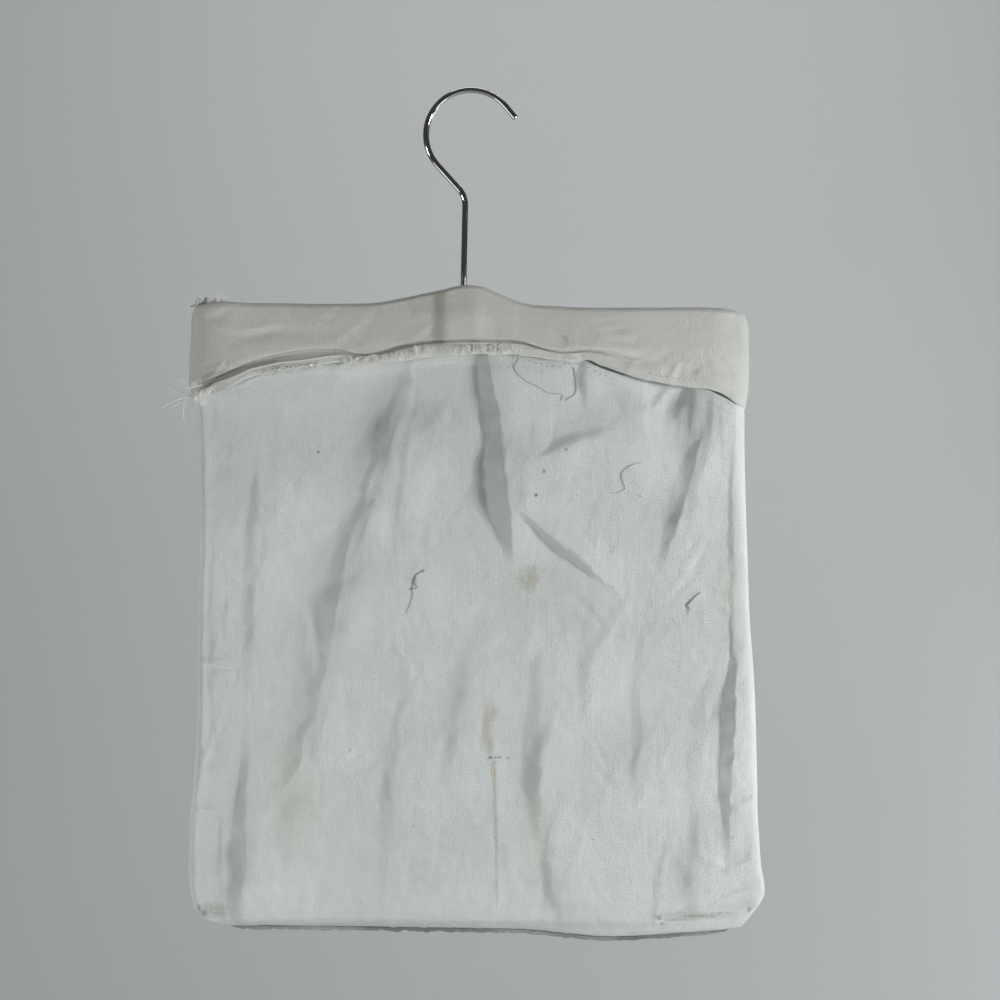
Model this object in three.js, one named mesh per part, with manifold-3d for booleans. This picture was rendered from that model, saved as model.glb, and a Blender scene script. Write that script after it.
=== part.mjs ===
// A clothespin bag of heavy white cotton on a small hanger with a steel hook, in millimetres.
// The origin is the point under the hook's top where it hangs. +Z is up, and the front faces -Y.
// Heights are given as "down", the distance below the origin.
import * as THREE from 'three';
import { mergeVertices } from 'three/addons/utils/BufferGeometryUtils.js';
import Module from 'manifold-3d';

// Driving dimensions
const CLOTH = 1.2;
const HEM = 1.8;
const GAP = 0.3;
const FIT = 0.4;
const HALF_WIDTH = 138;
const TOP_ROLL = 7;
const TOP_DEPTH = 7.2;
const BOTTOM_ROLL = 13;
const MOUTH_RISE = 75;
const YOKE_SQUARENESS = 8;
const PANEL_SQUARENESS = 4;
const BACK_SQUARENESS = 6;
const EDGE_CROWDING = 1.35;
const RIB = { from: -16, to: 7, height: 1.8, flank: 5 };
const HEM_END = 88;
const FOLD = { start: -0.05, full: 0.25, fading: 0.7, end: 1.1, shoulder: 0.45 };
const MOUTH_END = { from: 148, to: 162 };
const WIRE = 3;
const HOOK = { radius: 22.5, x: 0.5, tip: 19, throat: 223, step: 12 };
const SHANK = { x: -3, bend: 52, end: 114 };
const THROAT = [
  { x: -11.2, down: 42.2 },
  { x: -6.4, down: 47 },
  { x: -3.6, down: 52 },
];
const BAR = { half: 124, bottom: 119.5, endBottom: 118, thick: 8.4, endThick: 6.2, taper: 28 };
const SEAM = { height: 1.5, thick: 2, inset: 1 };
const COUNT = { across: 44, backAcross: 28, roll: 4, panel: 19, back: 11, hem: 2, hookSteps: 52, bar: 22 };

// The upper outline of the bag, with the swelling of the hanger under the hook
const TOP = [
  { x: -137, down: 106.5 },
  { x: -60, down: 105.5 },
  { x: -35, down: 103 },
  { x: -15, down: 99 },
  { x: -3, down: 96.5 },
  { x: 8, down: 97.5 },
  { x: 22, down: 103.5 },
  { x: 45, down: 107 },
  { x: 137, down: 108.5 },
];

// The mouth: where the yoke creases, where its turned-up hem ends, its lip and the panel's edge,
// how far the lip stands out from the seam plane and how far the panel's edge lies behind it
const MOUTH = [
  { x: -137, crease: 147.5, rim: 149.5, lip: 153.5, edge: 152, stand: 16.8, gape: 6.5 },
  { x: -120, crease: 141, rim: 143.5, lip: 147.5, edge: 145.5, stand: 16.8, gape: 7.7 },
  { x: -100, crease: 132.5, rim: 136, lip: 141, edge: 138.5, stand: 17.3, gape: 7.7 },
  { x: -70, crease: 127.8, rim: 131, lip: 136, edge: 133.5, stand: 16.8, gape: 7.7 },
  { x: -53, crease: 129.5, rim: 131, lip: 135, edge: 132.5, stand: 15.8, gape: 7.7 },
  { x: -30, crease: 125.5, rim: 127.5, lip: 132.5, edge: 130, stand: 15.8, gape: 7.7 },
  { x: 0, crease: 123.8, rim: 125.3, lip: 130.3, edge: 128.5, stand: 15.8, gape: 7.7 },
  { x: 22, crease: 124.5, rim: 126, lip: 129.8, edge: 129, stand: 15.8, gape: 7.7 },
  { x: 45, crease: 128, rim: 129.5, lip: 133.8, edge: 133.8, stand: 16.3, gape: 7.7 },
  { x: 62, crease: 128, rim: 129.5, lip: 134, edge: 134.3, stand: 16.8, gape: 7.7 },
  { x: 80, crease: 131, rim: 133, lip: 140, edge: 140.5, stand: 17.3, gape: 7.7 },
  { x: 105, crease: 139, rim: 141, lip: 145.8, edge: 143.8, stand: 16.8, gape: 7.7 },
  { x: 120, crease: 142.5, rim: 144.5, lip: 149.3, edge: 150.5, stand: 17.3, gape: 7.7 },
  { x: 137, crease: 150, rim: 152, lip: 157.5, edge: 157, stand: 16.8, gape: 6.5 },
];

// The sides of the yoke and of the pouch, and how far the pouch stands out in front
const YOKE_SIDES = [
  { down: 106, left: -133.5, right: 133 },
  { down: 110, left: -137.3, right: 136.8 },
  { down: 116, left: -139, right: 138 },
  { down: 134, left: -140.3, right: 139.5 },
  { down: 147, left: -140.5, right: 139.2 },
  { down: 158, left: -139.6, right: 138.8 },
];
const POUCH = [
  { down: 126, left: -138, right: 136.8, front: 14 },
  { down: 154, left: -137.2, right: 136.6, front: 14 },
  { down: 168, left: -135.5, right: 137, front: 15 },
  { down: 228, left: -134, right: 138, front: 16.5 },
  { down: 303, left: -135.5, right: 141.5, front: 17.5 },
  { down: 348, left: -137.5, right: 143, front: 18 },
  { down: 382, left: -139.5, right: 145, front: 17.5 },
  { down: 400, left: -139, right: 146.2, front: 15 },
  { down: 408, left: -134.5, right: 140, front: 12 },
  { down: 419, left: -120, right: 128, front: 9 },
];
const BACK = [
  { down: 96, depth: 7 },
  { down: 130, depth: 7.4 },
  { down: 200, depth: 9 },
  { down: 300, depth: 10.5 },
  { down: 385, depth: 11 },
  { down: 419, depth: 7 },
];

// The lower outline of the pouch, above the seam lip
const BOTTOM = [
  { x: -137, down: 413.5 },
  { x: -80, down: 414.8 },
  { x: -35, down: 416.2 },
  { x: 0, down: 416.6 },
  { x: 25, down: 416.4 },
  { x: 62, down: 419.4 },
  { x: 85, down: 419.3 },
  { x: 115, down: 417.6 },
  { x: 140, down: 414 },
];

// Folds of the pouch's front, from one end to the other, bowed sideways at the middle
const FOLDS = [
  { x1: 5, down1: 128, x2: 17, down2: 228, bow: 1, width: 6, height: -4 },
  { x1: 30, down1: 206, x2: 70, down2: 246, bow: 0, width: 5, height: -1.2 },
  { x1: -35, down1: 134, x2: -95, down2: 372, bow: 11, width: 13, height: -4 },
  { x1: 110, down1: 146, x2: 101, down2: 222, bow: -7, width: 7, height: -3.8 },
  { x1: 15, down1: 188, x2: 65, down2: 162, bow: 0, width: 8, height: -1.4 },
  { x1: -117, down1: 325, x2: -113, down2: 416, bow: 0, width: 7, height: -3 },
  { x1: 126, down1: 270, x2: 131, down2: 372, bow: 0, width: 7, height: -2.6 },
  { x1: 112, down1: 368, x2: 99, down2: 408, bow: 0, width: 7, height: -1.8 },
  { x1: 2, down1: 290, x2: 4, down2: 340, bow: 0, width: 9, height: -1.4 },
  { x1: 30, down1: 270, x2: 32, down2: 384, bow: 0, width: 10, height: -1.6 },
];

const manifold = await Module();
manifold.setup();

const { clamp, lerp, smoothstep, degToRad } = THREE.MathUtils;

// A smooth curve through the rows of a table, giving every other column at a value of its key
function through(rows, key) {
  const columns = Object.keys(rows[0]).filter((name) => name !== key);
  const values = rows.flatMap((row) => columns.map((name) => row[name]));
  const curve = new THREE.CubicInterpolant(rows.map((row) => row[key]), values, columns.length);
  return (at) => {
    const result = curve.evaluate(at);
    return Object.fromEntries(columns.map((name, i) => [name, result[i]]));
  };
}

const topAt = through(TOP, 'x');
const mouthAt = through(MOUTH, 'x');
const bottomAt = through(BOTTOM, 'x');
const yokeSidesAt = through(YOKE_SIDES, 'down');
const pouchAt = through(POUCH, 'down');
const backAt = through(BACK, 'down');

// Places across the width from -1 to 1, closer together towards the side seams
function spread(t) {
  return Math.sin(EDGE_CROWDING * (2 * t - 1)) / Math.sin(EDGE_CROWDING);
}

// How full the section is at a place across, 1 in the middle and 0 at the seams
function fullness(across, squareness) {
  return Math.sqrt(Math.max(0, 1 - Math.abs(across) ** squareness));
}

// A place between two sides that are both drawn in by the inset
function between(sides, across, inset) {
  const middle = (sides.left + sides.right) / 2;
  const half = (sides.right - sides.left) / 2 - inset;
  return middle + half * across;
}

// Outward relief of the pouch's folds: each is a valley with soft shoulders that fades at its ends
function foldRelief(x, down) {
  let relief = 0;
  for (const fold of FOLDS) {
    const run = new THREE.Vector2(fold.x2 - fold.x1, fold.down2 - fold.down1);
    const length = run.length();
    run.normalize();
    const from = new THREE.Vector2(x - fold.x1, down - fold.down1);
    const along = from.dot(run) / length;
    const inside = clamp(along, 0, 1);
    const aside = (from.cross(run) - fold.bow * 4 * inside * (1 - inside)) / fold.width;
    const fade = smoothstep(along, FOLD.start, FOLD.full) * (1 - smoothstep(along, FOLD.fading, FOLD.end));
    relief += fold.height * fade * (1 - FOLD.shoulder * aside * aside) * Math.exp(-aside * aside / 2);
  }
  return relief;
}

function rib(x) {
  const rise = smoothstep(x, RIB.from - RIB.flank / 2, RIB.from + RIB.flank / 2);
  const fall = smoothstep(x, RIB.to - RIB.flank / 2, RIB.to + RIB.flank / 2);
  return RIB.height * (rise - fall);
}

// Rows of the yoke below its rolled top: a row's place runs from 0 at the roll to 1 at the crease
// and 2 at the lip, and its share is how much of the lip's stand it has reached
const YOKE_ROWS = [
  { place: 0.45, share: 0.6 },
  { place: 0.8, share: 1.2 },
  { place: 1, share: 1.02 },
  { place: 2, share: 1 },
];
const YOKE_ROW_COUNT = COUNT.roll + YOKE_ROWS.length;
const PANEL_ROW_COUNT = COUNT.panel + COUNT.roll;
const BACK_ROW_COUNT = COUNT.roll + COUNT.back + COUNT.roll;

// A point of the yoke, at a row that may lie between two rows
function yokePoint(across, row, inset) {
  const x = HALF_WIDTH * across;
  const top = topAt(x).down;
  const mouth = mouthAt(x);
  const foot = top + TOP_ROLL;
  const full = fullness(across, YOKE_SQUARENESS);
  let down = foot;
  let depth = TOP_DEPTH;
  if (row < COUNT.roll) {
    const turn = (row / COUNT.roll) * (Math.PI / 2);
    down = foot - (TOP_ROLL - inset) * Math.cos(turn);
    depth = (TOP_DEPTH - inset) * Math.sin(turn);
  } else {
    const below = [{ place: 0, share: 0 }, ...YOKE_ROWS];
    const i = Math.min(Math.floor(row - COUNT.roll), YOKE_ROWS.length - 1);
    const t = row - COUNT.roll - i;
    const place = lerp(below[i].place, below[i + 1].place, t);
    const share = lerp(below[i].share, below[i + 1].share, t);
    down = place < 1 ? lerp(foot, mouth.crease, place) : lerp(mouth.crease, mouth.lip, place - 1);
    depth = lerp(TOP_DEPTH, mouth.stand, share) - inset;
  }
  const sides = yokeSidesAt(down);
  const bulge = rib(x) * smoothstep(row, 0, COUNT.roll);
  return new THREE.Vector3(
    between(sides, across, inset),
    -(GAP / 2 + (depth + bulge) * full),
    -down,
  );
}

// A point of the pouch's front, from the edge at the mouth down to the seam below
function panelPoint(across, row, inset) {
  const x = HALF_WIDTH * across;
  const mouth = mouthAt(x);
  const foot = bottomAt(x).down - BOTTOM_ROLL;
  let down = lerp(mouth.edge, foot, Math.min(row / COUNT.panel, 1));
  let roll = 1;
  if (row > COUNT.panel) {
    const turn = ((row - COUNT.panel) / COUNT.roll) * (Math.PI / 2);
    down = foot + (BOTTOM_ROLL - inset) * Math.sin(turn);
    roll = Math.cos(turn);
  }
  const pouch = pouchAt(down);
  const edgeDepth = mouth.stand - CLOTH - mouth.gape;
  const open = smoothstep(down - mouth.edge, 0, MOUTH_RISE);
  const depth = lerp(edgeDepth, pouch.front, open) + foldRelief(x, down);
  const full = fullness(across, PANEL_SQUARENESS) * roll;
  return new THREE.Vector3(
    between(pouch, across, inset),
    -(GAP / 2 + (depth - inset) * full),
    -down,
  );
}

// The back has the yoke's sides above the mouth's ends and the pouch's below
function backSides(down) {
  const blend = smoothstep(down, MOUTH_END.from, MOUTH_END.to);
  const yoke = yokeSidesAt(down);
  const pouch = pouchAt(down);
  return { left: lerp(yoke.left, pouch.left, blend), right: lerp(yoke.right, pouch.right, blend) };
}

function backPoint(across, row, inset) {
  const x = HALF_WIDTH * across;
  const head = topAt(x).down + TOP_ROLL;
  const foot = bottomAt(x).down - BOTTOM_ROLL;
  const descent = clamp((row - COUNT.roll) / COUNT.back, 0, 1);
  let down = lerp(head, foot, descent);
  let roll = 1;
  if (row < COUNT.roll) {
    const turn = (row / COUNT.roll) * (Math.PI / 2);
    down = head - (TOP_ROLL - inset) * Math.cos(turn);
    roll = Math.sin(turn);
  } else if (descent === 1) {
    const turn = ((row - COUNT.roll - COUNT.back) / COUNT.roll) * (Math.PI / 2);
    down = foot + (BOTTOM_ROLL - inset) * Math.sin(turn);
    roll = Math.cos(turn);
  }
  const depth = (backAt(down).depth - inset) * roll;
  const full = fullness(across, BACK_SQUARENESS);
  return new THREE.Vector3(between(backSides(down), across, inset), GAP / 2 + depth * full, -down);
}

// A closed wall between an outer and an inner grid of points, with its four edges filled in.
// Seen from outside, columns run to the right and rows run down.
function wall(columns, rows, outer, inner) {
  const points = [];
  for (const face of [outer, inner]) {
    for (let row = 0; row <= rows; row += 1) {
      for (let column = 0; column <= columns; column += 1) {
        points.push(face(column, row));
      }
    }
  }
  const layer = (rows + 1) * (columns + 1);
  const at = (column, row, side) => side * layer + row * (columns + 1) + column;
  const faces = [];
  const quad = (a, b, c, d) => faces.push(a, b, c, a, c, d);
  for (let row = 0; row < rows; row += 1) {
    for (let column = 0; column < columns; column += 1) {
      const right = column + 1;
      const below = row + 1;
      quad(at(column, row, 0), at(column, below, 0), at(right, below, 0), at(right, row, 0));
      quad(at(column, row, 1), at(right, row, 1), at(right, below, 1), at(column, below, 1));
    }
  }
  for (let column = 0; column < columns; column += 1) {
    const right = column + 1;
    quad(at(column, 0, 1), at(column, 0, 0), at(right, 0, 0), at(right, 0, 1));
    quad(at(column, rows, 0), at(column, rows, 1), at(right, rows, 1), at(right, rows, 0));
  }
  for (let row = 0; row < rows; row += 1) {
    const below = row + 1;
    quad(at(0, row, 0), at(0, row, 1), at(0, below, 1), at(0, below, 0));
    quad(at(columns, row, 1), at(columns, row, 0), at(columns, below, 0), at(columns, below, 1));
  }
  const geometry = new THREE.BufferGeometry().setFromPoints(points);
  geometry.setIndex(faces);
  return geometry;
}

// A closed bar through rings of points, each seen anticlockwise from the +X end
function loft(rings) {
  const size = rings[0].length;
  const faces = [];
  for (let i = 0; i < rings.length - 1; i += 1) {
    for (let j = 0; j < size; j += 1) {
      const next = (j + 1) % size;
      const a = i * size + j;
      const b = i * size + next;
      faces.push(a, b, b + size, a, b + size, a + size);
    }
  }
  const last = (rings.length - 1) * size;
  for (let j = 1; j < size - 1; j += 1) {
    faces.push(0, j + 1, j, last, last + j, last + j + 1);
  }
  const geometry = new THREE.BufferGeometry().setFromPoints(rings.flat());
  geometry.setIndex(faces);
  return geometry;
}

// A geometry as a solid for cutting, and back again
function solidOf(geometry) {
  const bare = geometry.clone();
  bare.deleteAttribute('normal');
  bare.deleteAttribute('uv');
  const merged = mergeVertices(bare, 1e-4);
  return new manifold.Manifold(new manifold.Mesh({
    numProp: 3,
    vertProperties: new Float32Array(merged.attributes.position.array),
    triVerts: new Uint32Array(merged.index.array),
  }));
}

function cut(geometry, tool) {
  const mesh = solidOf(geometry).subtract(solidOf(tool)).getMesh();
  const result = new THREE.BufferGeometry();
  result.setAttribute('position', new THREE.BufferAttribute(mesh.vertProperties, 3));
  result.setIndex(new THREE.BufferAttribute(mesh.triVerts, 1));
  return result;
}

// The round way for the shank through the top seam and into the hanger
function shankHole() {
  const top = topAt(SHANK.x).down - WIRE;
  const depth = SHANK.end + FIT - top;
  const hole = new THREE.CylinderGeometry(WIRE / 2 + FIT, WIRE / 2 + FIT, depth, 12);
  hole.rotateX(Math.PI / 2);
  hole.translate(SHANK.x, 0, -(top + depth / 2));
  return hole;
}

function hookGeometry() {
  const centre = new THREE.Vector3(HOOK.x, 0, -(HOOK.radius - WIRE / 2));
  const points = [];
  for (let angle = HOOK.tip; angle <= HOOK.throat; angle += HOOK.step) {
    const turn = degToRad(angle);
    const arm = new THREE.Vector3(Math.cos(turn), 0, Math.sin(turn)).multiplyScalar(HOOK.radius);
    points.push(arm.add(centre));
  }
  points.push(...THROAT.map((bend) => new THREE.Vector3(bend.x, 0, -bend.down)));
  const straight = SHANK.end - SHANK.bend;
  for (const share of [0.15, 0.4, 0.7, 1]) {
    points.push(new THREE.Vector3(SHANK.x, 0, -(SHANK.bend + straight * share)));
  }
  const section = new THREE.Shape().absarc(0, 0, WIRE / 2, 0, 2 * Math.PI);
  return new THREE.ExtrudeGeometry(section, {
    steps: COUNT.hookSteps,
    curveSegments: 5,
    bevelEnabled: false,
    extrudePath: new THREE.CatmullRomCurve3(points),
  });
}

// The hanger's section is round above and below, and it follows the bag's upper outline
function barGeometry() {
  const rings = [];
  const arc = [0, 0.25, 0.5, 0.75, 1].map((share) => share * Math.PI);
  for (let i = 0; i <= COUNT.bar; i += 1) {
    const x = lerp(-BAR.half, BAR.half, i / COUNT.bar);
    const fromEnd = smoothstep(BAR.half - Math.abs(x), 0, BAR.taper);
    const half = lerp(BAR.endThick, BAR.thick, fromEnd) / 2;
    const crown = topAt(x).down + CLOTH + 2 * GAP + half;
    const keel = lerp(BAR.endBottom, BAR.bottom, fromEnd) - half;
    const over = arc.map((turn) => new THREE.Vector3(x, half * Math.cos(turn), half * Math.sin(turn) - crown));
    const under = arc.map((turn) => new THREE.Vector3(x, -half * Math.cos(turn), -half * Math.sin(turn) - keel));
    rings.push([...over, ...under]);
  }
  return loft(rings);
}

// The seam lip hangs just below the lower edge of the pouch
function seamGeometry() {
  const rings = [];
  const half = SEAM.thick / 2;
  for (let column = SEAM.inset; column <= COUNT.across - SEAM.inset; column += 1) {
    const edge = panelPoint(spread(column / COUNT.across), PANEL_ROW_COUNT, 0);
    const upper = edge.z - GAP;
    const lower = upper - SEAM.height;
    rings.push([
      new THREE.Vector3(edge.x, half, lower),
      new THREE.Vector3(edge.x, half, upper),
      new THREE.Vector3(edge.x, -half, upper),
      new THREE.Vector3(edge.x, -half, lower),
    ]);
  }
  return loft(rings);
}

// The turned-up hem lies on the yoke from its lip to its rim and thins out towards its ends
function hemGeometry() {
  const columns = [];
  for (let column = 2; HALF_WIDTH * spread(column / COUNT.across) < HEM_END; column += 1) {
    columns.push(spread(column / COUNT.across));
  }
  const last = columns.length - 1;
  const hemPoint = (column, row, lift) => {
    const mouth = mouthAt(HALF_WIDTH * columns[column]);
    const rim = (mouth.rim - mouth.crease) / (mouth.lip - mouth.crease);
    const place = lerp(rim, 1, row / COUNT.hem);
    return yokePoint(columns[column], YOKE_ROW_COUNT - 1 + place, -lift);
  };
  const thickness = (column) => {
    const fromEnds = smoothstep(column, -1, 3) * smoothstep(last - column, -1, 6);
    return HEM * lerp(0.3, 1, fromEnds);
  };
  const outer = (column, row) => hemPoint(column, row, FIT + thickness(column));
  const inner = (column, row) => hemPoint(column, row, FIT);
  return wall(last, COUNT.hem, outer, inner);
}

function frontWall(point, rows) {
  const face = (inset) => (column, row) => point(spread(column / COUNT.across), row, inset);
  return wall(COUNT.across, rows, face(0), face(CLOTH));
}

function backWall() {
  const face = (inset) => (column, row) => backPoint(-spread(column / COUNT.backAcross), row, inset);
  return wall(COUNT.backAcross, BACK_ROW_COUNT, face(0), face(CLOTH));
}

const cotton = new THREE.MeshStandardMaterial({ color: 0xe7e8e3, roughness: 0.95, metalness: 0 });
const agedCotton = new THREE.MeshStandardMaterial({ color: 0xdddcd4, roughness: 0.95, metalness: 0 });
const rawCotton = new THREE.MeshStandardMaterial({ color: 0xe4e1d6, roughness: 1, metalness: 0 });
const steel = new THREE.MeshStandardMaterial({ color: 0xb4b5b3, roughness: 0.22, metalness: 1 });
const wood = new THREE.MeshStandardMaterial({ color: 0xb98f5c, roughness: 0.6, metalness: 0 });

const bag = new THREE.Group();

function addPiece(name, geometry, material) {
  const mesh = new THREE.Mesh(geometry, material);
  mesh.name = name;
  bag.add(mesh);
}

const hole = shankHole();
addPiece('hook', hookGeometry(), steel);
addPiece('hanger_bar', cut(barGeometry(), hole), wood);
addPiece('back_panel', cut(backWall(), hole), cotton);
addPiece('front_yoke', cut(frontWall(yokePoint, YOKE_ROW_COUNT), hole), agedCotton);
addPiece('yoke_hem', hemGeometry(), rawCotton);
addPiece('front_panel', frontWall(panelPoint, PANEL_ROW_COUNT), cotton);
addPiece('bottom_seam', seamGeometry(), cotton);

export default bag;
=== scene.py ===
import bpy
import numpy as np
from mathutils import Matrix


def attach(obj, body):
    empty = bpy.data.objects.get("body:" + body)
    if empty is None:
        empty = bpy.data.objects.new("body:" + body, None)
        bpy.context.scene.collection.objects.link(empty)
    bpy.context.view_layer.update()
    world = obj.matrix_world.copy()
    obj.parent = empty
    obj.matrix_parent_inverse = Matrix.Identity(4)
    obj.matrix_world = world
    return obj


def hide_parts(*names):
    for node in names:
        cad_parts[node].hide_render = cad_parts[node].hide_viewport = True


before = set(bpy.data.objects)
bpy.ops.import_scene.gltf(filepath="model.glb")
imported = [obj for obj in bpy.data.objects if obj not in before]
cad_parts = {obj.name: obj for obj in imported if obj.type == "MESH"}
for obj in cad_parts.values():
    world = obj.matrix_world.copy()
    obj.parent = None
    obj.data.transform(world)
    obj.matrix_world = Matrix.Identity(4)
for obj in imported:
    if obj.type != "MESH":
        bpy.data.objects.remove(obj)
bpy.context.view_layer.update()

# Hook
# One length of bright drawn steel wire, bent cold to an open bow with a cranked neck and a straight shank.
# The shank goes down through the top seam into the hanger inside, and the tip is cut square.
MM = 0.001
BACKWARD = (0.0, 1.0, 0.0)
WIRE_RADIUS = 1.5
WIRE_SIDES = 28
BOW_CENTRE = (0.5, 21.0)
BOW_RADIUS = 22.5
TIP_ANGLE = 40
TIP_LENGTH = 8.0
NECK_ANGLE = 223
NECK = ((-6.2, 47.2), (-2.2, 51.0), (-2.4, 57.0))
SHANK_FOOT = (-3.6, 113.5)


def line(start, end, count):
    """Evenly spaced points on the straight line between two points."""
    share = np.linspace(0, 1, count)[:, None]
    return np.array(start) * (1 - share) + np.array(end) * share


def hook_path():
    """The wire's middle line as (x, down).
    It is a straight tip, an arc, a straight neck, a parabolic crank and the straight shank."""
    turn = np.radians(np.linspace(TIP_ANGLE, NECK_ANGLE, 110))[:, None]
    outward = np.hstack([np.cos(turn), -np.sin(turn)])
    arc = np.array(BOW_CENTRE) + BOW_RADIUS * outward
    heading = np.array([np.sin(turn[0, 0]), np.cos(turn[0, 0])])
    tip = line(arc[0] + TIP_LENGTH * heading, arc[0], 14)
    share = np.linspace(0, 1, 18)[:, None]
    start, corner, end = (np.array(point) for point in NECK)
    crank = start * (1 - share) ** 2 + corner * 2 * share * (1 - share) + end * share ** 2
    parts = [tip[:-1], arc, line(arc[-1], start, 12)[1:-1], crank, line(end, SHANK_FOOT, 30)[1:]]
    return np.vstack(parts)


def put_mesh(name, points, faces, uv=None):
    """A smooth-shaded object from an array of points in millimetres (x, y, z) and an array of quads."""
    mesh = bpy.data.meshes.new(name)
    mesh.vertices.add(len(points))
    mesh.vertices.foreach_set("co", np.ravel(points * MM).astype(np.float32))
    mesh.loops.add(faces.size)
    mesh.loops.foreach_set("vertex_index", np.ravel(faces).astype(np.int32))
    mesh.polygons.add(len(faces))
    mesh.polygons.foreach_set("loop_start", np.arange(0, faces.size, 4, dtype=np.int32))
    mesh.polygons.foreach_set("use_smooth", np.ones(len(faces), dtype=bool))
    if uv is not None:
        layer = mesh.uv_layers.new(name="cloth")
        layer.data.foreach_set("uv", np.ravel(uv[np.ravel(faces)] * MM).astype(np.float32))
    mesh.update(calc_edges=True)
    mesh.validate()
    piece = bpy.data.objects.new(name, mesh)
    bpy.context.scene.collection.objects.link(piece)
    return piece


def grid_quads(rows, columns, closed=False):
    """Quads of a grid of points, with the last column joined to the first where the grid is a tube.
    Rows run down and columns to the right, seen from outside."""
    across = columns if closed else columns - 1
    row, column = np.meshgrid(np.arange(rows - 1), np.arange(across), indexing="ij")
    right = (column + 1) % columns
    upper, lower = row * columns, (row + 1) * columns
    corners = (upper + column, lower + column, lower + right, upper + right)
    return np.stack(corners, axis=-1).reshape(-1, 4)


def tubes(paths, radius, sides, facing):
    """Round tubes along many paths of equal count: rings of points around each path, square to it.
    The rings start from the direction facing, and each end closes on a last ring drawn to a point."""
    paths = np.asarray(paths, float)
    count, steps = paths.shape[:2]
    ahead = np.gradient(paths, axis=1)
    ahead /= np.linalg.norm(ahead, axis=2, keepdims=True) + 1e-9
    aside = np.cross(np.broadcast_to(facing, ahead.shape), ahead)
    aside /= np.linalg.norm(aside, axis=2, keepdims=True) + 1e-9
    over = np.cross(ahead, aside)
    paths, aside, over = (np.concatenate([a[:, :1], a, a[:, -1:]], axis=1) for a in (paths, aside, over))
    thick = np.broadcast_to(np.asarray(radius, float), (count, steps)).copy()
    thick = np.concatenate([thick[:, :1] * 0, thick, thick[:, -1:] * 0], axis=1)[..., None, None]
    turn = np.linspace(0, 2 * np.pi, sides, endpoint=False)[:, None]
    rings = paths[:, :, None] + thick * (aside[:, :, None] * np.cos(turn) + over[:, :, None] * np.sin(turn))
    quads = grid_quads(steps + 2, sides, closed=True)
    offset = np.arange(count)[:, None, None] * (steps + 2) * sides
    return rings.reshape(-1, 3), (quads[None] + offset).reshape(-1, 4)[:, ::-1]


class Value:
    """A result of a finish's nodes. Arithmetic on values and numbers adds Math nodes."""

    def __init__(self, finish, socket):
        self.finish = finish
        self.socket = socket

    def maths(self, operation, *terms):
        return self.finish.node("ShaderNodeMath", {"operation": operation}, dict(enumerate(terms)))

    def sine(self):
        return self.maths("SINE", self)

    def __add__(self, other):
        return self.maths("ADD", self, other)

    def __sub__(self, other):
        return self.maths("SUBTRACT", self, other)

    def __rsub__(self, other):
        return self.maths("SUBTRACT", other, self)

    def __mul__(self, other):
        return self.maths("MULTIPLY", self, other)

    def __truediv__(self, other):
        return self.maths("DIVIDE", self, other)

    __radd__ = __add__
    __rmul__ = __mul__


class Finish:
    """A material and its nodes. node() adds any node, and feed() sets or links a socket of the main
    shader."""

    def __init__(self, name):
        self.material = bpy.data.materials.new(name)
        self.material.use_nodes = True
        self.tree = self.material.node_tree
        self.shader = self.tree.nodes["Principled BSDF"]

    def node(self, kind, settings=None, inputs=None, output=0):
        made = self.tree.nodes.new(kind)
        for key, setting in (settings or {}).items():
            setattr(made, key, setting)
        for key, value in (inputs or {}).items():
            self.connect(made.inputs[key], value)
        return Value(self, made.outputs[output])

    def connect(self, socket, value):
        if isinstance(value, Value):
            self.tree.links.new(value.socket, socket)
        else:
            socket.default_value = value

    def feed(self, **sockets):
        for name, value in sockets.items():
            self.connect(self.shader.inputs[name.replace("_", " ").title()], value)

    def place(self):
        return self.node("ShaderNodeTexCoord", output="Object")

    def noise(self, scale, detail=2.0, roughness=0.5, stretch=None, vector=None):
        at = vector or self.place()
        if stretch:
            at = self.node("ShaderNodeMapping", {}, {"Vector": at, "Scale": stretch})
        sockets = {"Vector": at, "Scale": scale, "Detail": detail, "Roughness": roughness}
        return self.node("ShaderNodeTexNoise", {}, sockets)

    def mix(self, share, first, second):
        return self.node("ShaderNodeMix", {"data_type": "RGBA"}, {0: share, 6: first, 7: second}, output=2)

    def step(self, value, low, high):
        sockets = {0: value, 1: low, 2: high}
        return self.node("ShaderNodeMapRange", {"interpolation_type": "SMOOTHSTEP"}, sockets)

    def let_through(self, share, colour):
        """Some of the light goes through to the far side."""
        far = self.node("ShaderNodeBsdfTranslucent", {}, {"Color": colour})
        sockets = {0: share, 1: Value(self, self.shader.outputs[0]), 2: far}
        both = self.node("ShaderNodeMixShader", {}, sockets)
        self.connect(self.tree.nodes["Material Output"].inputs["Surface"], both)

    def bump(self, height, strength, distance):
        sockets = {"Height": height, "Strength": strength, "Distance": distance}
        return self.node("ShaderNodeBump", {}, sockets)


def steel_finish():
    """Bright wire, drawn along its length, with a thin brown tarnish in patches and a few dull scuffs."""
    steel = Finish("steel_wire")
    tarnish = steel.step(steel.noise(90, 4, 0.6), 0.5, 0.72)
    scuff = steel.step(steel.noise(700, 3, 0.6), 0.55, 0.75)
    bright = (0.43, 0.43, 0.42, 1)
    brown = (0.26, 0.19, 0.12, 1)
    steel.feed(base_color=steel.mix(tarnish * 0.55, bright, brown))
    steel.feed(metallic=1.0, roughness=0.07 + tarnish * 0.14 + scuff * 0.06)
    steel.feed(normal=steel.bump(steel.noise(1500, 2), 0.06, 0.0004))
    return steel.material


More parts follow.
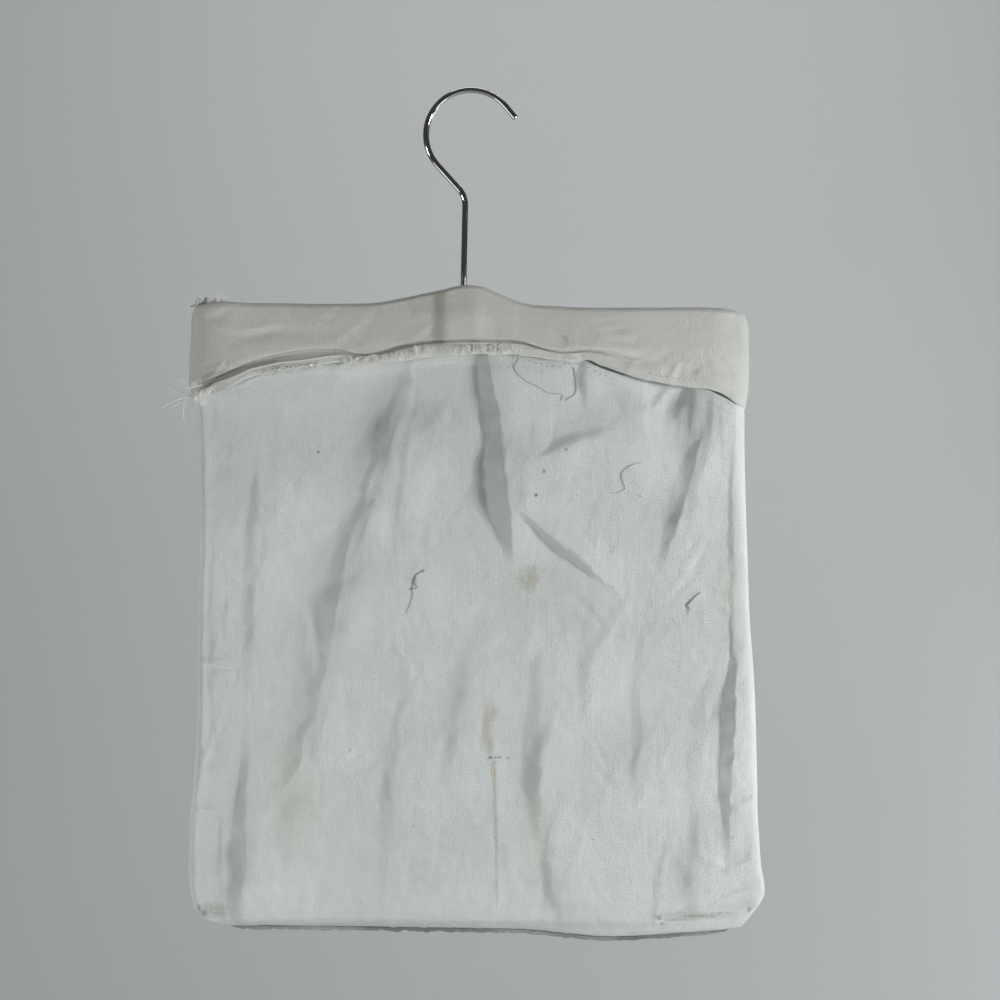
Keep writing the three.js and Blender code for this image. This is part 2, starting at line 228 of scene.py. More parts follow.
route = hook_path()
hook_points = np.column_stack([route[:, 0], np.zeros(len(route)), -route[:, 1]])
hook = put_mesh("hook_wire", *tubes(hook_points[None], WIRE_RADIUS, WIRE_SIDES, BACKWARD))
hook.data.materials.append(steel_finish())
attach(hook, "root")
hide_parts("hook")

# Hanger
# A plain bar of planed hardwood inside the top of the bag, drilled for the shank. The cloth hangs over it.
# It shows only through the mouth, so its own solid stays and gets a grain.


def wood_finish():
    """Grain lines drawn out along the bar, over a slow change of tone."""
    wood = Finish("hanger_wood")
    grain = wood.noise(260, 5, 0.6, stretch=(0.06, 1, 1))
    tone = wood.noise(20, 2)
    wood.feed(base_color=wood.mix(grain * 0.7 + tone * 0.3, (0.30, 0.18, 0.08, 1), (0.52, 0.36, 0.19, 1)))
    wood.feed(roughness=0.45 + grain * 0.25, normal=wood.bump(grain, 0.2, 0.0003))
    return wood.material


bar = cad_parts["hanger_bar"]
bar.data.materials.clear()
bar.data.materials.append(wood_finish())

# Back panel
# One piece of heavy plain-woven cotton, cut to the whole outline, seamed to the front round three sides.
# It lies nearly flat, with a slack belly and a few soft upright folds.
GAP = 0.3
EYE = (15.0, 203.5)
NEARER = 1.018
HALF_WIDTH = 138.0
TOP_ROLL = 7.0
BOTTOM_ROLL = 13.0
ROLL_STEPS = 0.12
SIDES_MEET = (150, 161)
EDGE_CROWDING = 1.25
BACK_SQUARENESS = 10
BACK_GRID = (170, 140)
CLOTH = 0.9
GRAIN = 0.26
THREAD_PITCH = 1.1
FLECK = (0.33, 0.31, 0.27, 1)
BLACK = (0, 0, 0, 1)


def table(columns, *rows):
    """A table's columns by name."""
    return dict(zip(columns.split(), np.array(rows, float).T))


TOP = table(
    "x down",
    (-138, 113), (-137.2, 109.5), (-135.5, 107), (-131, 105.6), (-105, 105.3), (-60, 105.6), (-45, 105),
    (-35, 103.2), (-15, 99), (-3, 96.5), (6, 97.2), (15, 100.8), (25, 104.8), (45, 107), (85, 107.6),
    (122, 107.7), (127, 108), (131.5, 109), (134.8, 110.6), (137, 113.4), (138, 118),
)
SQUARE_CORNER = 113.5
BOTTOM = table(
    "x down",
    (-138, 414), (-133, 415.4), (-113, 415.8), (-92, 416.2), (-72, 416.3), (-41, 416.8), (-4, 417.4),
    (22, 417.9), (42, 419.6), (53, 420.6), (67, 421.5), (84, 421.1), (104, 420), (120, 418.9),
    (133, 417.6), (138, 416.6),
)
BACK_SIDES = table(
    "down left right",
    (104, -137, 136), (110, -138.5, 137.6), (116, -139, 138), (124, -139.3, 138.5),
    (134, -140, 139), (147, -140, 139), (154, -137.5, 138), (161, -136, 137),
)
POUCH_SIDES = table(
    "down left right",
    (126, -138, 136.8), (154, -137.2, 136.8), (161, -136, 137), (176, -135, 137), (206, -134.5, 137.5),
    (228, -134, 138), (258, -135, 139), (288, -135, 141), (326, -136, 142.5), (348, -137.5, 143),
    (360, -139, 143.2), (371, -139.3, 144), (386, -139.5, 145.2), (394, -139.1, 146.6),
    (399, -138.5, 146.8), (402, -138, 145.8), (406.5, -136.8, 143), (411.5, -133.6, 139.6),
    (414.5, -129.6, 137.4), (417, -123, 135.6), (421, -116, 131),
)
BACK_DEPTH = table("down depth", (96, 7), (130, 7.4), (200, 9), (300, 10.5), (385, 11), (419, 7))


def through(rows, key, column):
    """A curve through a table's rows: cubics between neighbours, with slopes taken from the rows on
    both sides."""
    at, value = rows[key], rows[column]
    slope = np.gradient(value, at)

    def curve(where):
        where = np.clip(where, at[0], at[-1])
        i = np.clip(np.searchsorted(at, where) - 1, 0, len(at) - 2)
        gap = at[i + 1] - at[i]
        t = (where - at[i]) / gap
        early = (1 + 2 * t) * (1 - t) ** 2 * value[i] + t * (1 - t) ** 2 * gap * slope[i]
        return early + t * t * (3 - 2 * t) * value[i + 1] + t * t * (t - 1) * gap * slope[i + 1]

    return curve


top_line = through(TOP, "x", "down")
bottom_line = through(BOTTOM, "x", "down")
back_left, back_right = (through(BACK_SIDES, "down", side) for side in ("left", "right"))
pouch_left, pouch_right = (through(POUCH_SIDES, "down", side) for side in ("left", "right"))


def drawn_in(seen, level):
    """A place on the bag's front, from where it is seen at the seams' distance: the front stands a
    little nearer."""
    return level + (np.asarray(seen, float) - level) / NEARER


def smooth(value, low, high):
    """0 below low, 1 above high, and a smooth S between."""
    t = np.clip((value - low) / (high - low), 0, 1)
    return t * t * (3 - 2 * t)


def spread(count):
    """Places from -1 to 1 across the bag, closer together towards the side seams."""
    return np.sin(EDGE_CROWDING * np.linspace(-1, 1, count)) / np.sin(EDGE_CROWDING)


def fullness(across, squareness):
    """How full a level section is: 1 in the middle, falling to 0 at the side seams as a squared-off
    ellipse."""
    return np.sqrt(np.clip(1 - np.abs(across) ** squareness, 0, None))


def between(left, right, across):
    return (left + right) / 2 + (right - left) / 2 * across


def cloth_uv(points):
    """Lengths along the cloth from its middle column and top row, so that the weave isn't stretched."""
    steps = np.linalg.norm(np.diff(points, axis=1), axis=2)
    across = np.concatenate([np.zeros((len(points), 1)), np.cumsum(steps, axis=1)], axis=1)
    across -= across[:, across.shape[1] // 2][:, None]
    falls = np.linalg.norm(np.diff(points, axis=0), axis=2)
    down = np.concatenate([np.zeros((1, points.shape[1])), np.cumsum(falls, axis=0)], axis=0)
    return np.stack([across, -down], axis=-1).reshape(-1, 2)


def cloth_piece(name, points, thickness):
    """A sheet over a grid of points (rows, columns), given its thickness inwards."""
    rows, columns = points.shape[:2]
    piece = put_mesh(name, points.reshape(-1, 3), grid_quads(rows, columns), cloth_uv(points))
    wall = piece.modifiers.new("thickness", "SOLIDIFY")
    wall.thickness = thickness * MM
    wall.offset = -1
    wall.use_even_offset = False
    return piece


def wrinkles(seed, count, reach, length, width, height, lean):
    """Many small random creases as rows of a fold table, mostly upright."""
    draw = np.random.default_rng(seed)
    x = draw.uniform(reach[0], reach[1], count)
    down = draw.uniform(reach[2], reach[3], count)
    turn = draw.normal(0, lean, count)
    long = draw.uniform(length[0], length[1], count)
    bow = draw.normal(0, 0.06, count) * long
    wide = draw.uniform(width[0], width[1], count)
    high, rise = draw.normal(0, height, count), draw.normal(0, height, count)
    far, low = x + long * np.sin(turn), down + long * np.cos(turn)
    return np.column_stack([x, down, far, low, bow, wide, high, rise])


def beside(x, down, start, end, bow):
    """Where places lie by a bowed line: the share of its length that they are along it, and how far to
    its right."""
    length = np.hypot(end[0] - start[0], end[1] - start[1])
    ahead = ((end[0] - start[0]) / length, (end[1] - start[1]) / length)
    along = ((x - start[0]) * ahead[0] + (down - start[1]) * ahead[1]) / length
    inside = np.clip(along, 0, 1)
    aside = (x - start[0]) * ahead[1] - (down - start[1]) * ahead[0] - bow * 4 * inside * (1 - inside)
    return along, aside


def fold_relief(rows, x, down):
    """Sum of folds, each along a bowed line and fading at both ends. Across the line, height is a bump
    with soft shoulders, and rise is a step up to the right that dies away."""
    relief = np.zeros_like(x)
    for x1, down1, x2, down2, bow, width, height, rise in rows:
        along, aside = beside(x, down, (x1, down1), (x2, down2), bow)
        aside = aside / width
        fade = smooth(along, -0.05, 0.25) * (1 - smooth(along, 0.7, 1.1))
        shape = height * (1 - 0.42 * aside ** 2) + 1.65 * rise * aside
        relief += fade * shape * np.exp(-(aside ** 2) / 2)
    return relief


def back_points(columns, rows):
    """The back wall: a quarter round over the hanger, a shallow belly, and a quarter round to the
    bottom seam."""
    across = -spread(columns)[None, :]
    step = np.linspace(-1, 1, rows)[:, None]
    x = HALF_WIDTH * across
    head = np.minimum(top_line(x), SQUARE_CORNER) + TOP_ROLL
    foot = bottom_line(x) - BOTTOM_ROLL
    level = 1 - ROLL_STEPS
    over = np.clip((step + 1) / ROLL_STEPS, 0, 1) * np.pi / 2
    under = np.clip((step - level) / ROLL_STEPS, 0, 1) * np.pi / 2
    descent = np.clip((step + level) / (2 * level), 0, 1)
    down = head + (foot - head) * descent - TOP_ROLL * np.cos(over) + BOTTOM_ROLL * np.sin(under)
    roll = np.sin(over) * np.cos(under)
    blend = smooth(down, *SIDES_MEET)
    left = back_left(down) * (1 - blend) + pouch_left(down) * blend
    right = back_right(down) * (1 - blend) + pouch_right(down) * blend
    across = np.broadcast_to(across, down.shape)
    at = np.broadcast_to(x, down.shape)
    relief = fold_relief(BACK_FOLDS, at, down) + fold_relief(BACK_WRINKLES, at, down)
    depth = through(BACK_DEPTH, "down", "depth")(down) + relief
    y = GAP / 3 + depth * fullness(across, BACK_SQUARENESS) * roll
    return np.stack([between(left, right, across), y, -down], axis=-1)


BACK_FOLDS = (
    (-40, 150, -62, 360, 6, 13, -2.2, 0.6), (35, 140, 52, 330, -5, 12, -2.0, -0.8),
    (96, 170, 88, 400, 4, 11, -1.8, 0.5), (-104, 200, -98, 398, 3, 9, -1.6, 0.7),
    (0, 240, 6, 410, 2, 16, 1.6, 0),
)
BACK_WRINKLES = wrinkles(11, 46, (-125, 125, 130, 390), (18, 60), (2.2, 5), 0.2, 0.5)


def cotton_finish(name, light, dark, stains_and_shade=()):
    """Plain-woven cotton: a crossed weave of threads with slubs, soft changes of tone, fine crumples
    and ovals, some of them stains and some painted shade. Each oval is (x, down, half width, half
    height, colour, strength), with a ragged edge."""
    cotton = Finish(name)
    place = cotton.place()
    cloth = cotton.node("ShaderNodeUVMap", {"uv_map": "cloth"})
    warp, weft = (cotton.node("ShaderNodeSeparateXYZ", {}, {0: cloth}, output=axis) for axis in ("X", "Y"))
    pitch = 2 * np.pi / (THREAD_PITCH * MM)
    stray = cotton.noise(900, 2, vector=cloth) * 1.6
    weave = (warp * pitch + stray).sine() * (weft * pitch + stray).sine() * 0.5 + 0.5
    slub = cotton.noise(520, 3, 0.6, stretch=(1, 1, 0.12))
    nub = cotton.noise(1250, 3, 0.8, vector=cloth)
    crumple = cotton.noise(150, 4, 0.55, stretch=(1, 1, 0.7))
    tone = cotton.noise(16, 4, 0.55)
    mottle = cotton.noise(75, 4, 0.65)
    shade = tone * 0.55 + mottle * 0.33 + slub * 0.12
    colour = cotton.mix(cotton.step(shade, 0.34, 0.66), dark, light)
    grain = cotton.step(nub * 0.8 + slub * 0.12 + weave * 0.08, 0.36, 0.62)
    colour = cotton.mix((1 - grain) * GRAIN, colour, cotton.mix(0.5, dark, BLACK))
    fleck = cotton.step(cotton.noise(420, 1, 0.3), 0.80, 0.82)
    colour = cotton.mix(fleck * 0.55, colour, FLECK)
    side, height = (cotton.node("ShaderNodeSeparateXYZ", {}, {0: place}, output=axis) for axis in ("X", "Z"))
    ragged = cotton.noise(520, 5, 0.75) - 0.5
    for x, down, wide, tall, tint, strength in stains_and_shade:
        aside = (side - float(drawn_in(x, EYE[0])) * MM) / (wide * MM)
        above = (height + float(drawn_in(down, EYE[1])) * MM) / (tall * MM)
        reach = aside * aside + above * above + ragged * 3.6
        mask = 1 - cotton.step(reach, -0.2, 1.5)
        colour = cotton.mix(mask * strength, colour, tint)
    cotton.feed(base_color=colour, roughness=0.86 + nub * 0.12)
    relief = weave * 0.3 + slub * 0.9 + nub * 2.2 + crumple * 1.9
    cotton.feed(normal=cotton.bump(relief, 0.85, 0.0006))
    cotton.shader.inputs["Specular IOR Level"].default_value = 0.2
    cotton.shader.inputs["Sheen Weight"].default_value = 0.08
    cotton.shader.inputs["Sheen Roughness"].default_value = 0.5
    cotton.let_through(0.16, light)
    return cotton.material


WHITE = (0.82, 0.86, 0.845, 1)
OFF_WHITE = (0.745, 0.775, 0.755, 1)
# Grey of dirt in the cloth, also used as painted shade over some creases.
GREY_DIRT_AND_SHADE = (0.42, 0.40, 0.36, 1)

back = cloth_piece("back_cloth", back_points(*BACK_GRID), CLOTH)
back.data.materials.append(cotton_finish("back_cotton", WHITE, OFF_WHITE, stains_and_shade=(
    (-125, 408, 12, 9, GREY_DIRT_AND_SHADE, 0.5), (132, 405, 12, 9, GREY_DIRT_AND_SHADE, 0.45),
    (0, 418, 120, 4, GREY_DIRT_AND_SHADE, 0.25),
)))
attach(back, "root")
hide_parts("back_panel")

ALLOWANCE = dict(left=-139.5, right=-119, foot=107.4, height=3.2, thick=0.4)
ALLOWANCE_GRID = (90, 12)


def waver(x, seed, count, short, long):
    """A random wave along x: a sum of sines with wavelengths from short to long, at a height of about 1."""
    draw = np.random.default_rng(seed)
    wave, phase = draw.uniform(short, long, count), draw.uniform(0, 2 * np.pi, count)
    return np.sin(2 * np.pi * x[..., None] / wave + phase).sum(axis=-1) * np.sqrt(2 / count)


def allowance_points(columns, rows):
    """The raw scrap of seam at the top left corner: a narrow ribbon that stands up, crumples from side
    to side and falls away at both ends."""
    along = np.linspace(0, 1, columns)[None, :]
    up = np.linspace(0, 1, rows)[:, None]
    x = ALLOWANCE["left"] + (ALLOWANCE["right"] - ALLOWANCE["left"]) * along + 0 * up
    ends = smooth(along, -0.1, 0.25) * (1 - smooth(along, 0.4, 1))
    tall = ALLOWANCE["height"] * ends * (1 + 0.3 * waver(x, 61, 24, 1.4, 6))
    down = ALLOWANCE["foot"] - 1.2 * smooth(along, 0, 0.3) - tall * up
    y = -1.6 + 0.7 * up * waver(x, 62, 14, 3, 9) - 0.6 * np.sin(np.pi * up) * waver(x, 63, 12, 3, 12)
    return np.stack(np.broadcast_arrays(x - 0.5 * up * waver(x, 64, 10, 5, 14), y, -down), axis=-1)


allowance = cloth_piece("seam_allowance", allowance_points(*ALLOWANCE_GRID), ALLOWANCE["thick"])
allowance.data.materials.append(back.data.materials[0])
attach(allowance, "root")

# Front yoke
# A shaped piece of the same cotton, a little darkened with age, drawn smooth over the hanger and sewn in
# at the sides. It swells over the hook's seat and stands out to a rounded lip, which creases where its
# hem is turned up.
TOP_DEPTH = 12.5
YOKE_ROLL = 3.6
YOKE_SQUARENESS = 8
YOKE_GRID = (320, 90)
ROLL_SHARE = 0.2
MOUTH = table(
    "x crease rim lip edge stand gape groove",
    (-137, 148, 150, 154.5, 150, 14.5, 2.6, 1.2),
    (-132, 145.2, 147.8, 152.6, 148, 15, 2.6, 1.8),
    (-125, 142.5, 145, 150, 145.5, 15.4, 2.6, 2.6),
    (-115, 138.2, 141.6, 145.8, 141.6, 15.6, 2.6, 3.8),
    (-105, 134, 137.6, 141.4, 137.6, 15.8, 2.6, 4.4),
    (-95, 131.2, 135, 139, 135.6, 15.8, 2.6, 4),
    (-85, 129.2, 133.6, 137.2, 134.8, 15.8, 2.6, 3.2),
    (-75, 128.1, 132, 135.8, 133, 15.8, 2.6, 2.6),
    (-70, 128, 131.4, 135.2, 133.4, 15.7, 2.6, 2.4),
    (-65, 128.1, 131, 134.5, 135.2, 15.6, 2.6, 2.2),
    (-60, 129, 131, 134.6, 133.2, 15.4, 2.6, 2),
    (-52, 130.8, 131.4, 135.4, 132.8, 15.3, 2.6, 1.8),
    (-45, 129.8, 131, 135.4, 132.4, 15.3, 2.6, 2),
    (-35, 126.6, 128.4, 134.2, 131.2, 15.3, 2.6, 1.8),
    (-25, 124.4, 126, 132.3, 129.6, 15.3, 2.6, 2.4),
    (-15, 123.7, 125, 131.2, 128.6, 15.3, 2.6, 2.3),
    (0, 123.5, 124.7, 130.4, 128, 15.3, 2.6, 2.2),
    (15, 123.5, 124.7, 130.3, 128, 15.3, 2.6, 2.2),
    (25, 124.2, 125.6, 130.8, 129.6, 15.4, 2.6, 2.3),
    (35, 127.4, 128.4, 132.2, 131.9, 15.6, 2.6, 1.9),
    (45, 129.3, 130.2, 133.6, 133.2, 15.7, 2.6, 1.8),
    (52, 128.8, 130, 133.6, 131.8, 15.8, 2.6, 1.9),
    (58, 128.4, 129.8, 133.4, 133.2, 15.9, 2.4, 1.9),
    (65, 129, 130.6, 136, 136.9, 16, 2, 1.8),
    (75, 130.9, 132.6, 139.8, 140.1, 16.1, 2, 1.3),
    (85, 133, 135, 143, 142.6, 16.2, 3, 0.5),
    (95, 136.5, 139, 145.2, 144, 16, 6, 0),
    (105, 139.5, 142, 146.8, 145.2, 15.8, 6, 0),
    (113, 141.5, 144, 147.6, 146.6, 15.8, 3.5, 0),
    (120, 143, 145.6, 148.8, 149, 15.8, 2.4, 0),
    (127, 145.5, 148, 151.8, 152.6, 15.6, 2, 0),
    (132, 147.5, 150.6, 155, 155.4, 15.2, 2, 0),
    (137, 150, 153, 157.8, 156.8, 14.6, 5, 0),
)
# Along each column, a folded stretch and a plain one: place runs from 0 at the roll to 1 at the crease, 2
# at the rim and 3 at the lip, share is how much of the lip's stand is reached, and sink is how much of
# the groove is taken off. A plain stretch has no crease, so its fall is the share of the way from the
# roll to the lip
YOKE_PROFILE = table(
    "step place share sink fall plain_share",
    (0, 0, 0, 0, 0, 0),
    (1, 0.25, 0.34, 0, 0.13, 0.28),
    (2, 0.50, 0.66, 0, 0.26, 0.54),
    (3, 0.75, 0.94, 0, 0.39, 0.76),
    (4, 0.91, 1.07, 0, 0.50, 0.92),
    (5, 0.99, 1.05, 0.11, 0.60, 1.03),
    (6, 1.02, 0.97, 0.52, 0.69, 1.09),
    (7, 1.20, 0.93, 0.7, 0.78, 1.11),
    (8, 1.55, 0.95, 0.42, 0.86, 1.10),
    (9, 2.00, 1.00, 0.08, 0.93, 1.06),
    (10, 3.00, 1.00, 0, 1.00, 1.0),
)
YOKE_SIDES = table(
    "down left right",
    (112, -139.2, 139), (118, -139.4, 139.2), (124, -139.6, 139.3), (134, -140.3, 139.6),
    (143, -140.5, 139.4), (147, -140.2, 139.2), (150, -139.4, 138.9), (153.5, -137.8, 138.3),
    (158, -136.6, 137.6),
)
RIB = dict(left=(-19.5, -11.5), right=(3, 14), height=1.6)
yoke_left, yoke_right = (through(YOKE_SIDES, "down", side) for side in ("left", "right"))
MOUTH.update({column: drawn_in(MOUTH[column], EYE[1]) for column in ("crease", "rim", "lip", "edge")})
mouth = {column: through(MOUTH, "x", column) for column in MOUTH if column != "x"}


def rib(x):
    """The swelling over the hook's seat: a sharp step on the left and a soft one on the right."""
    return RIB["height"] * (smooth(x, *RIB["left"]) - smooth(x, *RIB["right"]))


def yoke_surface(across, share):
    """Points of the yoke at shares of its width and of its fall, arrays of one shape.
    A quarter round goes over the hanger, then each column follows its profile out to the lip."""
    x = HALF_WIDTH * across
    over = np.clip(share / ROLL_SHARE, 0, 1) * np.pi / 2
    step = np.clip((share - ROLL_SHARE) / (1 - ROLL_SHARE), 0, 1) * YOKE_PROFILE["step"][-1]
    profile = {name: through(YOKE_PROFILE, "step", name)(step) for name in YOKE_PROFILE if name != "step"}
    groove = mouth["groove"](x)
    folded = smooth(groove, 0.2, 2)
    reach = profile["plain_share"] * (1 - folded) + profile["share"] * folded
    foot = top_line(x) + YOKE_ROLL
    crease, rim, lip = (mouth[column](x) for column in ("crease", "rim", "lip"))
    place = profile["place"]
    creased = foot + (crease - foot) * np.minimum(place, 1)
    creased = creased + (rim - crease) * np.clip(place - 1, 0, 1) + (lip - rim) * np.clip(place - 2, 0, 1)
    plain = foot + (lip - foot) * profile["fall"]
    down = creased * folded + plain * (1 - folded) - YOKE_ROLL * np.cos(over)
    depth = TOP_DEPTH + (mouth["stand"](x) - TOP_DEPTH) * reach - groove * profile["sink"]
    depth = depth * np.sin(over)
    relief = fold_relief(YOKE_FOLDS, x, down) + fold_relief(YOKE_WRINKLES, x, down)
    depth = depth + (rib(x) + relief) * smooth(share, 0.02, ROLL_SHARE)
    y = -(GAP / 3 + depth * fullness(across, YOKE_SQUARENESS))
    return np.stack([between(yoke_left(down), yoke_right(down), across), y, -down], axis=-1)


YOKE_FOLDS = (
    (-120, 124, -85, 118, 0, 2.6, -0.4, 0.3), (-139, 146, -110, 138, 1.5, 1.5, -0.8, 0),
    (-139, 149.5, -113, 142, 1.5, 1.3, -0.7, 0), (-139, 143, -116, 134.5, 1, 2.0, -0.5, 0),
    (-14, 88, -14.5, 138, 0, 3.8, -0.25, 0.45), (4, 100, 5, 126, 0, 4, 0, -0.4),
    (102.5, 135, 98, 146, 0, 1.6, 0.7, -0.3), (104, 138, 126, 142, 0, 3, -0.7, 0),
    (110, 146, 133, 150, 0, 2.6, 0.5, 0), (-95, 122, -60, 120, 0, 4, -0.35, 0.2),
    (62, 127, 84, 130.5, 0, 2.2, 0.5, 0), (106, 131, 119, 137, 0, 2, -0.6, 0.2),
    (90, 128, 103, 138, 0, 1.8, 0.45, 0), (119, 134, 132, 139, 0, 2.2, -0.6, 0.2),
)
YOKE_WRINKLES = wrinkles(5, 60, (-130, 130, 104, 140), (8, 34), (1.2, 3.0), 0.19, 1.2)

AGED = (0.77, 0.78, 0.75, 1)
AGED_DARK = (0.69, 0.695, 0.655, 1)
# Brown grey of dust on the yoke and hem, also used as painted shade over the rib, the lower left folds and
# the right end.
YOKE_DUST_AND_SHADE = (0.50, 0.47, 0.42, 1)

yoke_grid = np.meshgrid(spread(YOKE_GRID[0]), np.linspace(0, 1, YOKE_GRID[1]))
yoke = cloth_piece("yoke_cloth", yoke_surface(*yoke_grid), CLOTH)
yoke.data.materials.append(cotton_finish("yoke_cotton", AGED, AGED_DARK, stains_and_shade=(
    # Painted shade among the dust: the narrow upright oval at (-14, 110) stands for the shade on the rib's
    # left side, the one at (-126, 143) for the shade in the folds at the lower left corner, and the one at
    # (116, 138) dims the brightly lit right end.
    (-9, 104, 26, 9, YOKE_DUST_AND_SHADE, 0.5), (-40, 116, 40, 12, YOKE_DUST_AND_SHADE, 0.22),
    (-14, 110, 4.5, 11, YOKE_DUST_AND_SHADE, 0.24), (-60, 107, 70, 3, YOKE_DUST_AND_SHADE, 0.25),
    (70, 109, 60, 3, YOKE_DUST_AND_SHADE, 0.2), (-100, 122, 24, 3, YOKE_DUST_AND_SHADE, 0.2),
    (-126, 143, 14, 5, YOKE_DUST_AND_SHADE, 0.36), (116, 138, 18, 7, YOKE_DUST_AND_SHADE, 0.2),
    (118, 122, 24, 16, YOKE_DUST_AND_SHADE, 0.2),
)))
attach(yoke, "root")
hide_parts("front_yoke")

# Yoke hem
# The yoke's lower edge, turned up on the outside from the left seam to right of the middle and sewn down.
# Its fold stands as a pale rim over the crease, and the raw edge below it has come loose and frays.
HEM_LEFT = -136.5
HEM_RIGHT = 88.0
HEM_THICK = 1.3
HEM_BLUNT = 0.55
HEM_GRID = (880, 44)
# The stretches of bare raw edge: where each starts along x, is full, lessens and ends
HEM_RAW = ((-64, -40, 22, 36), (-114, -102, -92, -84))
HEM_RAW_CORNER = (-128, -118)


def squared(wave, power):
    """A wave with its tops flattened: its sign times a low power of its size."""
    return np.sign(wave) * np.abs(wave) ** power


def hem_points(columns, sides):
    """A flat rounded band along the mouth: a closed loop of points at each place, from the rim down to
    the lip. Its outer face steps down from the rim's fold to the loose raw edge, which wavers along the
    length."""
    along = np.linspace(0, 1, columns)[:, None]
    x = HEM_LEFT + (HEM_RIGHT - HEM_LEFT) * along
    turn = np.linspace(0, 2 * np.pi, sides, endpoint=False)[None, :]
    drop = 0.5 - 0.5 * squared(np.cos(turn), HEM_BLUNT)
    out = 0.5 + 0.5 * squared(np.sin(turn), HEM_BLUNT)
    bold = smooth(along, 0, 0.02) * (1 - 0.8 * smooth(x, 18, 44)) * (1 - smooth(x, 48, 86))
    rim, lip = mouth["rim"](x), mouth["lip"](x) + 0.4
    sag = 0.18 * waver(x, 3, 40, 14, 50) * (1 - drop) + 0.14 * waver(x, 4, 40, 5, 20) * drop
    down = rim + (lip - rim) * drop + sag
    raw = sum(smooth(x, start, full) * (1 - smooth(x, less, end)) for start, full, less, end in HEM_RAW)
    raw = raw + 0.9 * (1 - smooth(x, *HEM_RAW_CORNER))
    loose = 0.27 + 0.025 * waver(x, 5, 60, 1.6, 9)
    fold = 0.3 * np.exp(-((drop - 0.1) / 0.12) ** 2)
    face = fold - 0.4 * raw * np.exp(-((drop - loose) / 0.06) ** 2)
    fibres = waver(x, 6, 90, 1.0, 2.2) * smooth(drop, 0.32, 0.5) * (1 - smooth(drop, 0.85, 0.97))
    face = face + raw * 0.07 * fibres
    thick = (HEM_THICK + face) * (0.12 + 0.88 * bold)
    depth = mouth["stand"](x) - 0.5 + rib(x) * (1 - 0.3 * drop) + thick * out
    across = x / HALF_WIDTH
    y = -(GAP / 3 + depth * fullness(across, YOKE_SQUARENESS))
    place = between(yoke_left(down), yoke_right(down), across)
    return np.stack(np.broadcast_arrays(place, y, -down), axis=-1)


def capped(loops):
    """A tube's loops of points, with a last loop at each end drawn to its middle, so that the ends are
    closed."""
    first, last = (np.broadcast_to(loops[end].mean(axis=0), loops[end].shape)[None] for end in (0, -1))
    return np.concatenate([first, loops, last])


hem_grid = capped(hem_points(*HEM_GRID))
hem_steps = np.diff(hem_grid[:, :1], axis=0, prepend=hem_grid[:1, :1])
hem_length = np.cumsum(np.linalg.norm(hem_steps, axis=2), axis=0)
hem_fall = -hem_grid[..., 2]
hem_uv = np.stack([hem_length + 0 * hem_fall, hem_fall], axis=-1).reshape(-1, 2)
hem_faces = grid_quads(*hem_grid.shape[:2], closed=True)
hem = put_mesh("hem_band", hem_grid.reshape(-1, 3), hem_faces, hem_uv)
RAW = (0.85, 0.86, 0.835, 1)
RAW_DARK = (0.72, 0.72, 0.68, 1)
hem.data.materials.append(cotton_finish("hem_cotton", RAW, RAW_DARK, stains_and_shade=(
    (-55, 134, 14, 3, YOKE_DUST_AND_SHADE, 0.3), (0, 128.5, 36, 3, YOKE_DUST_AND_SHADE, 0.36),
    (-128, 149, 10, 4, YOKE_DUST_AND_SHADE, 0.3),
)))
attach(hem, "root")
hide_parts("yoke_hem")

# Front panel
# The pouch's front: the same cotton, its top edge hemmed and left loose behind the yoke's lip, the other
# sides seamed. It hangs slack, drawn into deep upright folds below the mouth and gathered at the right
# end of it.
MOUTH_RISE = 75.0
PANEL_SQUARENESS = 70
PANEL_GRID = (380, 246)
HEM_TURN = 6.0
TURN_STEPS = 0.03
OVER_STEPS = 0.01
BOTTOM_STEPS = 0.08
SEAM_RIDGE = 1.6
POUCH_FRONT = table(
    "down front",
    (126, 14), (154, 14), (168, 15), (228, 16.5), (303, 17), (348, 17), (382, 16), (400, 13.5), (408, 11),
    (419, 8),
)
pouch_front = through(POUCH_FRONT, "down", "front")
# Each pleat: the crest's line from (x, down) to (x, down), bow, width of the steep side, reach of the
# gentle side, height, and where along the line it stands highest. The first table's are sharply creased,
# the second's steepest at the crest, the third's rounded.
PLEATS = (
    (2, 100, 22.6, 241, 3, 10.8, 16, 7.6, 0.72), (21, 205, 80, 254.5, 0, 4.2, 9, 4.6, 0.45),
    (58.5, 120, 58.5, 162, 0, 4, 6, 1.6, 0.5), (135, 262, 129.5, 392, -1, 7, 8, 3.7, 0.5),
    (115, 144, 109, 178, 0, 3, 5, 0.5, 0.4), (121.5, 146, 121.5, 182, 0, 3, 5, 0.8, 0.5),
    (110, 145, 103, 168, 0, 2.6, 4, 0.5, 0.4),
)
SWEPT_PLEATS = (
    (-26, 112, -74, 268, 7.5, 24, 20, 4.2, 0.4), (-58, 206, -92, 360, 4, 20, 15, 4.0, 0.42),
    (118, 166, 95, 241, 0.5, 9, 11, 3.0, 0.5), (124, 118, 112.5, 206, 2.5, 20, 10, 1.6, 0.6),
)
